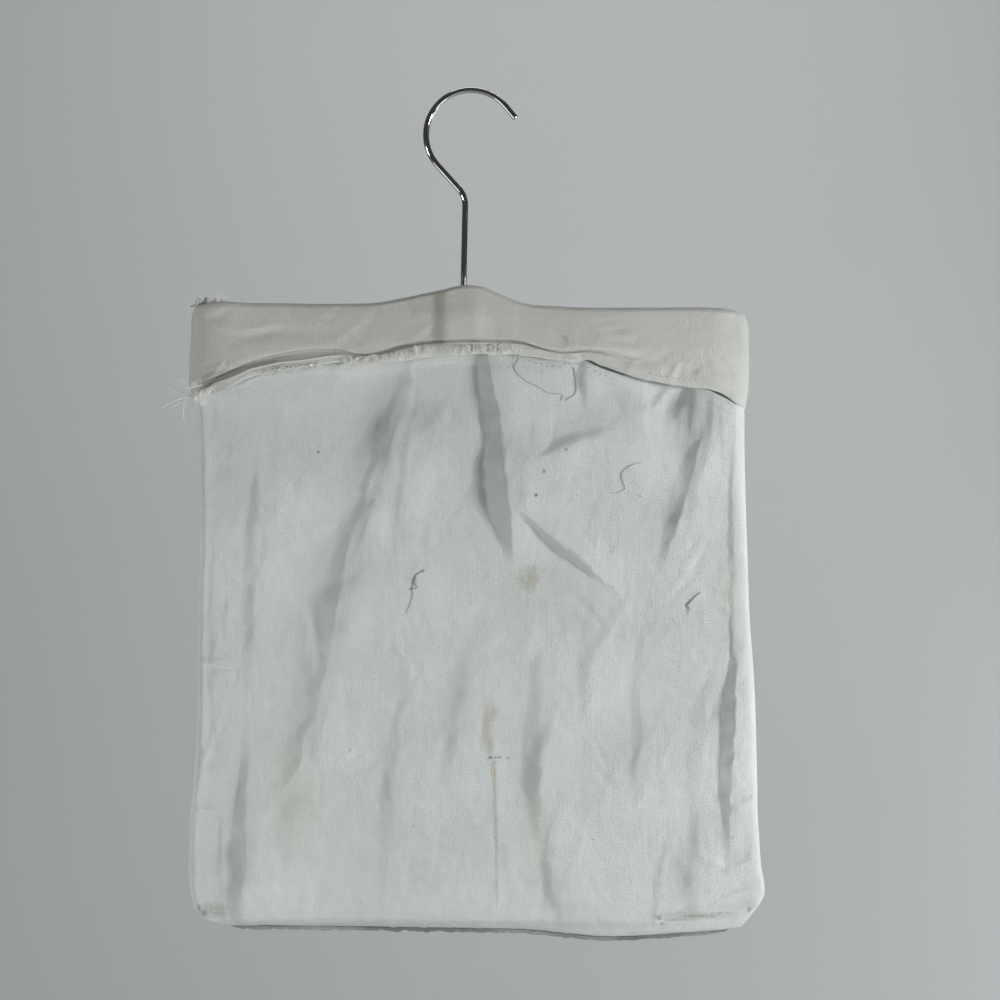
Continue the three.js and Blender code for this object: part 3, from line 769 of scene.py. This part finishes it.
SOFT_PLEATS = (
    (-30, 126, -70, 254, 3, 6, 8, 1.0, 0.5), (-78, 300, -92, 410, 0, 14, 14, 1.8, 0.4),
    (127, 150, 128, 190, 0, 4, 5, 0.8, 0.4), (74, 166, 28, 187, 0, 8, 9, 2.2, 0.5),
    (-111, 312, -116, 440, 3.5, 11.5, 12, 4.0, 0.62), (-124, 356, -122, 430, 0, 5, 6, 1.1, 0.5),
    (134, 150, 133, 306, -1, 4, 7, 1.1, 0.5), (116, 352, 112, 428, 2, 12, 9, 2.4, 0.5),
    (101, 366, 92, 426, 0, 6, 9, 1.2, 0.5), (36, 278, 36, 388, 0, 12, 12, 3.2, 0.5),
    (41, 358, 50, 430, 0, 11, 10, 2.3, 0.5), (5, 264, -12, 356, 0, 11, 10, 1.7, 0.5),
    (44, 300, 33, 352, 0, 6, 8, 1.2, 0.5), (-104, 166, -111, 320, 2, 9, 12, 1.8, 0.5),
    (-22, 136, -40, 246, 0, 6, 9, 1.4, 0.4), (88, 262, 84, 372, 0, 8, 10, 1.2, 0.5),
    (-128, 200, -126, 344, 0, 5, 7, 1.1, 0.5), (-30, 288, -44, 416, 0, 10, 13, 1.6, 0.5),
    (62, 238, 60, 346, 0, 9, 11, 1.0, 0.5), (72, 146, 98, 180, 0, 7, 9, 1.0, 0.4),
    (120, 290, 112, 368, 0, 10, 8, 1.3, 0.5),
)
# Each soft fold: from (x, down) to (x, down), bow, width, height and rise
FOLDS = (
    (110, 142, 95, 162, 0, 3.6, -1.1, -0.3), (104, 142, 90, 160, 0, 2.6, 0.8, 0.3),
    (92, 414, 136, 407, 1, 1.8, -0.9, 0.4), (-137, 284, -122, 286, 0, 1.6, 0.9, 0),
    (-138, 322, -128, 336, 0, 1.6, 0.8, 0.3), (-138, 358, -122, 361, 0, 1.7, 1.0, 0.4),
    (-139, 391, -127, 393, 0, 1.7, 1.1, 0.4), (-134, 178, -118, 190, 0, 2.4, -0.4, 0.2),
    (144, 380, 124, 390, 0, 2.2, 0.9, 0.5), (144, 352, 130, 358, 0, 1.8, 0.7, 0.3),
    (142, 396, 120, 402, 0, 1.8, -0.8, 0.4), (130, 386, 112, 378, 0, 1.8, 0.7, 0.4),
    (80, 190, 84, 330, 2, 14, -0.8, 0), (-80, 252, -76, 290, 0, 3, -0.5, -0.4),
)
# How the folds stray from their lines and vary in height, and how the cloth between them lies: the height
# of a random field, its seed, its number of waves, and its shortest and longest wave
SWAY = dict(
    sideways=(0.35, 51, 20, 26, 90), jitter=(0.26, 55, 40, 5, 14), lengthways=(0.5, 52, 20, 26, 90),
    uneven=(0.09, 53, 24, 16, 60), crumple=(0.08, 54, 60, 5, 20), slack=(0.8, 57, 16, 36, 110),
)
WRINKLES = np.vstack([
    wrinkles(21, 90, (-128, 128, 150, 390), (16, 60), (1.8, 4.4), 0.11, 0.55),
    wrinkles(22, 80, (-130, 135, 300, 408), (8, 30), (1.0, 2.6), 0.11, 0.9),
    wrinkles(23, 80, (-130, 130, 140, 300), (8, 26), (1.0, 2.4), 0.09, 0.9),
])


def sway(x, down, height, seed, count, short, long):
    """A random field over the cloth: a sum of plane waves in random directions, at about the given
    height."""
    draw = np.random.default_rng(seed)
    total = np.zeros_like(x)
    for turn, wave, phase in draw.uniform((0, short, 0), (np.pi, long, 2 * np.pi), (count, 3)):
        total += np.sin(2 * np.pi * (x * np.cos(turn) + down * np.sin(turn)) / wave + phase)
    return height * total * np.sqrt(2 / count)


def pleat_relief(rows, x, down, profile):
    """Sum of pleats: the left side climbs by a profile to a bowed crest, and the right side falls away
    gently. A pleat grows in height and width along its line to one place and tapers from there, with a
    shallow hollow left of its foot."""
    relief = np.zeros_like(x)
    for x1, down1, x2, down2, bow, steep, reach, height, peak in rows:
        along, aside = beside(x, down, (x1, down1), (x2, down2), bow)
        fade = smooth(along, 0, peak) ** 0.7 * (1 - smooth(along, peak, 1))
        wide = steep * (0.3 + 0.7 * fade)
        climb = profile(np.clip(1 + aside / wide, 0, 1))
        gentle = np.exp(-((np.maximum(aside, 0) / reach) ** 2) / 2)
        hollow = np.exp(-((np.minimum(aside + wide, 0) / (0.8 * reach)) ** 2) / 2)
        relief += fade * height * (climb * gentle - 0.18 * hollow * (1 - climb))
    return relief


def sharp_climb(share):
    """A nearly straight climb, sharp at its foot and its crest, from 0 to 1."""
    return share ** 0.92


def swept_climb(share):
    """A climb that starts level and is steepest at its crest, from 0 to 1."""
    return share ** 1.8


def round_climb(share):
    """A climb that starts and ends level, from 0 to 1."""
    return smooth(share, 0, 1)


def panel_depth(x, down):
    """How far the panel stands out at a place, before the sides close in. It rises from the loose edge
    behind the lip to the pouch's full belly, and the folds and wrinkles are added."""
    edge = mouth["edge"](x)
    behind = mouth["stand"](x) - 1.2 - mouth["gape"](x)
    rise = smooth(down - edge, 0, MOUTH_RISE)
    depth = behind + (pouch_front(down) - behind) * rise
    hem_step = 0.5 * (1 - smooth(down - edge, HEM_TURN - 0.5, HEM_TURN + 0.5))
    calm = smooth(down - edge, -2, 10)
    at = between(pouch_left(down), pouch_right(down), x / HALF_WIDTH)
    seen = EYE[0] + (at - EYE[0]) * NEARER
    seen = seen + sway(x, down, *SWAY["sideways"]) + sway(x, down, *SWAY["jitter"])
    seen_down = EYE[1] + (down - EYE[1]) * NEARER + sway(x, down, *SWAY["lengthways"])
    uneven = 1 + sway(x, down, *SWAY["uneven"])
    folds = pleat_relief(PLEATS, seen, seen_down, sharp_climb) + fold_relief(FOLDS, seen, seen_down)
    folds = folds + pleat_relief(SWEPT_PLEATS, seen, seen_down, swept_climb) * uneven
    folds = folds + pleat_relief(SOFT_PLEATS, seen, seen_down, round_climb) * uneven
    crumple = fold_relief(WRINKLES, x, down)
    crumple = crumple + sway(x, down, *SWAY["crumple"]) + sway(x, down, *SWAY["slack"])
    return depth + hem_step + folds * uneven * (0.6 + 0.4 * calm) + crumple * calm


def panel_place(across, down, outward=0.0):
    """The point of the panel at a share of the width and a height, moved out of the cloth by a small
    distance."""
    x = HALF_WIDTH * across
    foot = bottom_line(x) - BOTTOM_ROLL
    low = np.clip((down - foot) / BOTTOM_ROLL, 0, 1)
    roll = np.sqrt(np.clip(1 - low ** 2, 0, None))
    seam = HALF_WIDTH * (1 + across)
    ridge = SEAM_RIDGE * np.exp(-((seam - 3) / 3.5) ** 2)
    depth = (panel_depth(x, down) + ridge) * fullness(across, PANEL_SQUARENESS) * roll
    place = between(pouch_left(down), pouch_right(down), across)
    return np.stack([place, -(GAP / 3 + depth + outward), -down], axis=-1)


def panel_points(columns, rows):
    """The panel: up the hem's turned-in edge, over the top, straight down, and a quarter round to the
    bottom seam."""
    across = np.broadcast_to(spread(columns)[None, :], (rows, columns))
    x = HALF_WIDTH * across
    level = 1 - BOTTOM_STEPS
    step = np.linspace(-TURN_STEPS - OVER_STEPS, 1, rows)[:, None]
    turn = np.clip((step + OVER_STEPS) / OVER_STEPS, 0, 1) * np.pi
    under = np.clip((step - level) / BOTTOM_STEPS, 0, 1) * np.pi / 2
    edge, foot = mouth["edge"](x), bottom_line(x) - BOTTOM_ROLL
    down = edge + (foot - edge) * np.clip(step / level, 0, 1) + BOTTOM_ROLL * np.sin(under)
    down = down + HEM_TURN * np.clip((-step - OVER_STEPS) / TURN_STEPS, 0, 1) - 0.3 * np.sin(turn)
    return panel_place(across, down, outward=-0.55 * (1 + np.cos(turn)))


TAN = (0.52, 0.495, 0.42, 1)
RUST = (0.46, 0.36, 0.25, 1)
MOSS = (0.15, 0.14, 0.10, 1)
YELLOWED = (0.70, 0.68, 0.57, 1)
# Near black of soot specks and dirty corners, also used as painted shade along the crease over the bottom
# seam.
SOOT_AND_SHADE = (0.25, 0.245, 0.23, 1)

sheet_points = panel_points(*PANEL_GRID)
sheet_faces = grid_quads(*sheet_points.shape[:2])
panel = put_mesh("panel_cloth", sheet_points.reshape(-1, 3), sheet_faces, cloth_uv(sheet_points))
panel.data.materials.append(cotton_finish("panel_cotton", WHITE, OFF_WHITE, stains_and_shade=(
    (-130, 409.5, 9, 5, GREY_DIRT_AND_SHADE, 0.6), (141, 407, 4, 5, GREY_DIRT_AND_SHADE, 0.25),
    (112, 413, 22, 2.6, GREY_DIRT_AND_SHADE, 0.5), (-60, 417, 80, 2.5, GREY_DIRT_AND_SHADE, 0.3),
    (40, 418, 70, 2.5, GREY_DIRT_AND_SHADE, 0.3), (-117, 392, 4, 24, GREY_DIRT_AND_SHADE, 0.2),
    (103, 395, 5, 14, GREY_DIRT_AND_SHADE, 0.22), (-88, 350, 16, 34, YELLOWED, 0.25),
    (-40, 172, 12, 30, GREY_DIRT_AND_SHADE, 0.10), (32, 370, 10, 34, YELLOWED, 0.22),
    # Painted shade: these two grey ovals stand for the shade in the fan of creases under the mouth's right
    # end.
    (106, 157, 10, 9, GREY_DIRT_AND_SHADE, 0.18), (118, 166, 8, 14, GREY_DIRT_AND_SHADE, 0.16),
    (54.5, 144, 4, 5, GREY_DIRT_AND_SHADE, 0.14), (126, 249, 5, 13, YELLOWED, 0.4),
    (5, 185, 55, 60, GREY_DIRT_AND_SHADE, 0.14), (29.5, 243, 5.0, 6.5, TAN, 0.75), (9.5, 309, 4, 7, RUST, 0.30),
    (8.2, 318, 2.6, 8, RUST, 0.42), (10, 326, 2.2, 6, RUST, 0.38), (13, 310, 2.4, 3, RUST, 0.3),
    (10.2, 332.3, 1.4, 0.8, MOSS, 0.8), (12.7, 332.4, 0.8, 0.7, MOSS, 0.8),
    (14.6, 332.2, 1.0, 0.7, MOSS, 0.75), (19, 332.5, 1.1, 0.8, MOSS, 0.5), (11.8, 338, 1.5, 7, RUST, 0.5),
    (12.3, 352, 1.2, 13, RUST, 0.42), (12.9, 368, 1.1, 10, RUST, 0.44), (13.2, 384, 1.1, 15, RUST, 0.38),
    (13.4, 400, 1.0, 8, RUST, 0.28), (-76, 179.5, 0.9, 0.9, MOSS, 0.95),
    (32.8, 201.2, 0.85, 0.85, MOSS, 0.95), (37, 189, 0.9, 1.4, SOOT_AND_SHADE, 0.7), (48, 178.5, 1, 1, SOOT_AND_SHADE, 0.7),
    (85, 201.5, 0.9, 0.9, SOOT_AND_SHADE, 0.6), (-135.8, 407.5, 1.0, 2.2, SOOT_AND_SHADE, 0.8),
    (-133.4, 411, 1.2, 2.2, SOOT_AND_SHADE, 0.8), (140.4, 409.5, 1.0, 1.8, SOOT_AND_SHADE, 0.8),
    # Painted shade: the thin soot-coloured ovals, 0.7 to 0.8 tall, along the bottom edge stand for the shade
    # in the crease over the bottom seam.
    (95, 413.5, 1.3, 1.3, SOOT_AND_SHADE, 0.7), (96.5, 417, 1.2, 1.1, SOOT_AND_SHADE, 0.6), (103, 415.2, 6, 0.8, SOOT_AND_SHADE, 0.4),
    (116, 413, 9, 0.7, SOOT_AND_SHADE, 0.42), (128, 411.5, 8, 0.8, SOOT_AND_SHADE, 0.3), (-112, 419.8, 24, 0.8, SOOT_AND_SHADE, 0.55),
    (-64, 420.4, 26, 0.8, SOOT_AND_SHADE, 0.5), (-18, 421, 24, 0.8, SOOT_AND_SHADE, 0.5), (22, 422, 20, 0.8, SOOT_AND_SHADE, 0.45),
    (72, 425.4, 30, 0.8, SOOT_AND_SHADE, 0.4), (116, 423.4, 18, 0.8, SOOT_AND_SHADE, 0.5), (129, 376, 3, 4, SOOT_AND_SHADE, 0.16),
    (131, 372, 1, 1.2, SOOT_AND_SHADE, 0.4),
)))
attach(panel, "root")
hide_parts("front_panel")

# Bottom seam
# The two panels' edges, sewn together and pressed to a narrow flat lip along the bottom.
SEAM_HEIGHT = 2.2
SEAM_THICK = 1.9
SEAM_BLUNT = 0.7
SEAM_REACH = 0.97
SEAM_INSET = 0.985
# The lip's greys are painted shade over some grime: it is the same white cotton, coloured dark for the
# shadow along the bag's bottom edge.
SEAM_SHADED_GREY = (0.46, 0.47, 0.46, 1)
SEAM_SHADED_DARK = (0.19, 0.19, 0.185, 1)
SEAM_GRID = (260, 16)


def seam_points(columns, sides):
    """A rounded strip: at each place along the bottom line, a squared ellipse of points, thinner at the
    ends."""
    across = np.linspace(-SEAM_REACH, SEAM_REACH, columns)[:, None]
    x = HALF_WIDTH * across
    turn = np.linspace(0, 2 * np.pi, sides, endpoint=False)[None, :]
    ends = 0.3 + 0.7 * (1 - np.abs(across) ** 20)
    pucker = 0.22 * waver(x, 31, 40, 4, 22)
    down = bottom_line(x) + 0.1 + pucker + SEAM_HEIGHT / 2 * (1 - ends * np.cos(turn))
    y = SEAM_THICK / 2 * ends * squared(np.sin(turn), SEAM_BLUNT) + 0.15 * waver(x, 32, 30, 6, 30)
    place = between(pouch_left(down), pouch_right(down), across * SEAM_INSET)
    return np.stack([place, y, -down], axis=-1)


seam_grid = capped(seam_points(*SEAM_GRID))
seam_uv = seam_grid[..., [0, 2]].reshape(-1, 2)
seam_faces = grid_quads(*seam_grid.shape[:2], closed=True)[:, ::-1]
seam = put_mesh("seam_lip", seam_grid.reshape(-1, 3), seam_faces, seam_uv)
seam.data.materials.append(cotton_finish("seam_cotton_painted_shade", SEAM_SHADED_GREY, SEAM_SHADED_DARK))
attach(seam, "root")
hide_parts("bottom_seam")

# Stitching
# Cotton sewing thread, one slack line along the panel's hem and one along the right half of the yoke's.
# Each stitch is a short float of thread that dips into the cloth at both ends.
UPWARD = (0.0, 0.0, 1.0)
THREAD = 0.23
THREAD_SIDES = 6
PANEL_STITCH = dict(left=22, right=74, pitch=2.9, half=0.36, lift=0.6, below=3.2)
YOKE_STITCH = dict(left=88, right=112, pitch=2.8, half=0.4, lift=0.4, fall=0.89)
STITCH_PALE = (0.52, 0.51, 0.47, 1)
STITCH_DARK = (0.36, 0.35, 0.32, 1)


def stitch_floats(start, end, lift):
    """Arched paths from start to end points, one a stitch, that stand out of the cloth by lift in the
    middle."""
    share = np.linspace(0, 1, 7)[None, :, None]
    arch = np.sin(np.pi * share) - 0.25
    return start[:, None] * (1 - share) + end[:, None] * share + arch * np.array([0, -lift, 0])


def thread_finish(name, light, dark):
    """Sewing thread: a pale tone with the twist's fine slanting lines."""
    thread = Finish(name)
    twist = thread.noise(1800, 2, 0.6)
    thread.feed(base_color=thread.mix(twist, dark, light), roughness=0.8 + twist * 0.15)
    thread.feed(normal=thread.bump(twist, 0.3, 0.0002))
    return thread.material


places = np.arange(PANEL_STITCH["left"], PANEL_STITCH["right"], PANEL_STITCH["pitch"])
places = places + 0.35 * waver(places, 71, 12, 4, 12)
ends = [places + side * PANEL_STITCH["half"] for side in (-1, 1)]
heights = [mouth["edge"](x) + PANEL_STITCH["below"] + 0.25 * np.sin(x) for x in ends]
stitch_ends = [panel_place(x / HALF_WIDTH, down) for x, down in zip(ends, heights)]
floats = stitch_floats(*stitch_ends, PANEL_STITCH["lift"])
panel_stitches = put_mesh("panel_stitches", *tubes(floats, THREAD, THREAD_SIDES, UPWARD))
panel_stitches.data.materials.append(thread_finish("stitch_thread", STITCH_PALE, STITCH_DARK))
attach(panel_stitches, "root")

places = np.arange(YOKE_STITCH["left"], YOKE_STITCH["right"], YOKE_STITCH["pitch"])
ends = [(places + side * YOKE_STITCH["half"]) / HALF_WIDTH for side in (-1, 1)]
stitch_ends = [yoke_surface(across, np.full_like(across, YOKE_STITCH["fall"])) for across in ends]
floats = stitch_floats(*stitch_ends, YOKE_STITCH["lift"])
yoke_stitches = put_mesh("yoke_stitches", *tubes(floats, THREAD, THREAD_SIDES, UPWARD))
yoke_stitches.data.materials.append(panel_stitches.data.materials[0])
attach(yoke_stitches, "root")

# Frayed edges
# Bare ends of the cotton's own yarn, where raw edges have come loose: a tuft at the top left corner,
# wisps at the left end of the mouth, and a fringe along the turned-up hem.
YARN = 0.17
YARN_SIDES = 5
YARN_PALE = (0.86, 0.86, 0.83, 1)
YARN_DARK = (0.70, 0.69, 0.64, 1)
ASLANT = (0.3, 0.8, 0.5)
FRAY_STEPS = 12
# Each row: two places between which the ends start (x, down and how far out), the way they point, the
# shortest and longest, and how many
FRAYS = (
    ((-140, 105.4, 2), (-122, 103, 3), (-0.3, 0.1, 0.9), (1.5, 4.0), 60),
    ((-138, 104, 2), (-118, 102.8, 3), (0.9, -0.2, 0.3), (2, 6), 30),
    ((-138, 147, 4), (-137, 153, 9), (-1.0, -0.1, 0.1), (5, 15), 16),
    ((-136.5, 150, 14), (-124, 146.5, 17), (0.2, -0.6, -0.8), (2, 5), 60),
    ((-138, 149, 12), (-131, 146, 15), (-0.5, -0.5, 0.5), (1.5, 4), 24),
    ((-28, 126.6, 18.6), (26, 126.4, 18.2), (0.1, -0.25, -1.0), (1.2, 3.6), 340),
    ((-100, 138.6, 17), (-72, 134.5, 17), (0.2, -0.3, -1.0), (1.0, 2.6), 100),
    ((-62, 133.0, 17), (-30, 129.2, 17), (0.3, -0.25, -1.0), (1.0, 3.0), 150),
)


def fray_paths(seed):
    """Curling paths of loose yarn.
    Each starts at a random place on its row's line and bends steadily away from the row's direction."""
    draw = np.random.default_rng(seed)
    share = np.linspace(0, 1, FRAY_STEPS)[None, :, None]
    paths = []
    for start, end, way, length, count in FRAYS:
        at = draw.uniform(0, 1, (count, 1))
        root = np.array(start) * (1 - at) + np.array(end) * at + draw.normal(0, 0.35, (count, 3))
        root = np.column_stack([root[:, 0], -root[:, 2], -drawn_in(root[:, 1], EYE[1])])
        ahead = np.array(way) + draw.normal(0, 0.35, (count, 3))
        ahead /= np.linalg.norm(ahead, axis=1, keepdims=True)
        curl = draw.normal(0, 0.4, (count, 3))
        size = draw.uniform(length[0], length[1], (count, 1))[:, :, None]
        paths.append(root[:, None] + size * (ahead[:, None] * share + curl[:, None] * share ** 2))
    return np.concatenate(paths)


yarn_taper = YARN * np.linspace(1, 0.45, FRAY_STEPS)
frays = put_mesh("loose_yarn", *tubes(fray_paths(41), yarn_taper, YARN_SIDES, ASLANT))
frays.data.materials.append(thread_finish("yarn_ends", YARN_PALE, YARN_DARK))
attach(frays, "root")

# Loose threads and lint
# Ends of grey sewing thread that hang from the mouth and lie on the panel, and dark lint caught in the
# weave.
LOOSE_STEPS = 60
LOOSE_RADIUS = 0.14
LINT_RADIUS = 0.2
PROUD = 0.25
GREY = (0.36, 0.37, 0.38, 1)
GREY_SHADE = (0.25, 0.26, 0.27, 1)
LINT_BROWN = (0.30, 0.28, 0.24, 1)
LINT_DARK = (0.17, 0.16, 0.14, 1)
LOOSE = (
    ((24, 133.5), (22, 136.5), (23.5, 140.5), (28, 144), (34, 147), (39.5, 150), (46, 150.8), (45.5, 153.6)),
    ((51.8, 137), (52.6, 141), (53.2, 147), (53, 149.4), (51.2, 151.4), (49, 152.8), (48.2, 153.8)),
    ((86, 184.5), (81, 186), (76.5, 189), (76, 193.5), (77.5, 197.5), (74, 199.5), (70, 200)),
)
LINT = (
    ((-22.5, 239), (-25.5, 239.8), (-28, 242.5), (-28.5, 246), (-28.9, 249), (-29, 252.5), (-30, 256),
     (-32, 259.5)),
    ((-23, 238.2), (-24.5, 239.4), (-26, 240.2), (-27.4, 241), (-26.8, 243), (-28, 245)),
    ((-27.2, 241.5), (-27.8, 244.5), (-26.6, 247.2), (-30.4, 247.8), (-27.5, 248.2)),
    ((115, 249.5), (112.8, 251.5), (110, 254.5), (108.8, 256), (109.6, 258), (108.2, 260.5)),
    ((110.6, 253.5), (109, 255), (107.8, 256.6), (109.2, 257), (108, 258.2)),
)


def lying(strands):
    """Smooth paths through each strand's places, lying on the panel just proud of the cloth."""
    share = np.linspace(0, 1, LOOSE_STEPS)
    paths = []
    for strand in strands:
        x, down = np.array(strand, float).T
        rows = {"share": np.linspace(0, 1, len(x)), "x": x, "down": down}
        x, down = (through(rows, "share", column)(share) for column in ("x", "down"))
        x, down = drawn_in(x, EYE[0]), drawn_in(down, EYE[1])
        left, right = pouch_left(down), pouch_right(down)
        paths.append(panel_place((2 * x - left - right) / (right - left), down, outward=PROUD))
    return np.array(paths)


loose = put_mesh("loose_threads", *tubes(lying(LOOSE), LOOSE_RADIUS, THREAD_SIDES, BACKWARD))
loose.data.materials.append(thread_finish("grey_thread", GREY, GREY_SHADE))
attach(loose, "root")
lint_taper = LINT_RADIUS * np.linspace(1, 0.4, LOOSE_STEPS)
lint = put_mesh("lint", *tubes(lying(LINT), lint_taper, THREAD_SIDES, BACKWARD))
lint.data.materials.append(thread_finish("lint_fibre", LINT_BROWN, LINT_DARK))
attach(lint, "root")

# Stage
# A pale floor that sweeps up to a plain grey backdrop, with a weak fill all round. Two soft lamps stand
# at the sides, two low strips give the wire its streaks, and one lamp each lights the bag's back and the
# backdrop.
SWEEP = dict(floor=-800.0, front=-2600.0, bend=900.0, wall=1700.0, height=1900.0, half=3400.0)
# Each lamp: name, place and target in metres, width and height, watts, colour
LAMPS = (
    ("lamp_left", (-1.25, -0.72, -0.2), (0, 0, -0.26), (0.24, 0.24), 6.7, (1.0, 0.99, 0.97)),
    ("lamp_right", (1.05, -0.55, -0.2), (0.03, 0, -0.26), (0.22, 0.22), 13.0, (0.98, 1.0, 1.0)),
    ("lamp_low_left", (-0.8, -0.35, -0.64), (0, -0.35, -0.04), (0.8, 0.4), 2.5, (1.0, 1.0, 1.0)),
    ("lamp_low_right", (0.8, -0.35, -0.64), (0, -0.35, -0.04), (0.8, 0.4), 2.5, (1.0, 1.0, 1.0)),
    ("lamp_back", (1.3, 1.2, -0.45), (0, 0, -0.26), (0.8, 0.5), 6.0, (1.0, 1.0, 1.0)),
    ("lamp_backdrop", (0.2, 0.3, 1.3), (0.2, 1.7, -0.6), (1.4, 0.5), 11.0, (0.97, 0.99, 1.0)),
)
FILL = dict(colour=(0.95, 0.98, 1.0, 1), strength=0.08)


def sweep_points():
    """The sweep: a straight floor, a quarter round, and a straight wall, drawn out sideways."""
    turn = np.linspace(0, np.pi / 2, 24)
    radius = SWEEP["wall"] - SWEEP["bend"]
    y = np.concatenate([[SWEEP["front"]], SWEEP["bend"] + radius * np.sin(turn), [SWEEP["wall"]]])
    z = np.concatenate([[SWEEP["floor"]], SWEEP["floor"] + radius * (1 - np.cos(turn)), [SWEEP["height"]]])
    x = np.linspace(-SWEEP["half"], SWEEP["half"], 12)
    x, y = np.meshgrid(x, y[::-1])
    return np.stack([x, y, np.broadcast_to(z[::-1, None], x.shape)], axis=-1)


def paper_finish():
    """Matt background paper with a very slight unevenness of tone."""
    paper = Finish("backdrop_paper")
    cloud = paper.noise(1.2, 3)
    paper.feed(base_color=paper.mix(cloud, (0.60, 0.62, 0.62, 1), (0.64, 0.66, 0.66, 1)))
    paper.feed(roughness=0.9 + cloud * 0.05)
    return paper.material


def lamp(name, place, target, size, power, colour):
    """A soft lamp, aimed at a place: a rectangle of a width and a height."""
    light = bpy.data.lights.new(name, "AREA")
    light.shape = "RECTANGLE"
    light.size, light.size_y = size
    light.energy = power
    light.color = colour
    holder = bpy.data.objects.new(name, light)
    bpy.context.scene.collection.objects.link(holder)
    holder.location = place
    away = np.array(place, float) - np.array(target, float)
    flat = np.hypot(away[0], away[1])
    holder.rotation_euler = (np.arctan2(flat, away[2]), 0, np.arctan2(away[0], -away[1]))


grid = sweep_points()
sweep = put_mesh("sweep", grid.reshape(-1, 3), grid_quads(*grid.shape[:2]))
sweep.data.materials.append(paper_finish())
for row in LAMPS:
    lamp(*row)
world = bpy.data.worlds.new("studio")
world.use_nodes = True
world.node_tree.nodes["Background"].inputs["Color"].default_value = FILL["colour"]
world.node_tree.nodes["Background"].inputs["Strength"].default_value = FILL["strength"]
bpy.context.scene.world = world
bpy.context.scene.view_settings.view_transform = "Standard"

# Camera
# Square on to the front and level with its middle, with a field half a metre wide at the bag.
CAMERA = dict(sensor=36, lens=64.8, distance=0.9)
camera = bpy.data.cameras.new("camera")
camera.sensor_width = CAMERA["sensor"]
camera.lens = CAMERA["lens"]
eye = bpy.data.objects.new("camera", camera)
bpy.context.scene.collection.objects.link(eye)
eye.location = (EYE[0] * MM, -CAMERA["distance"], -EYE[1] * MM)
eye.rotation_euler = (np.pi / 2, 0, 0)
bpy.context.scene.camera = eye
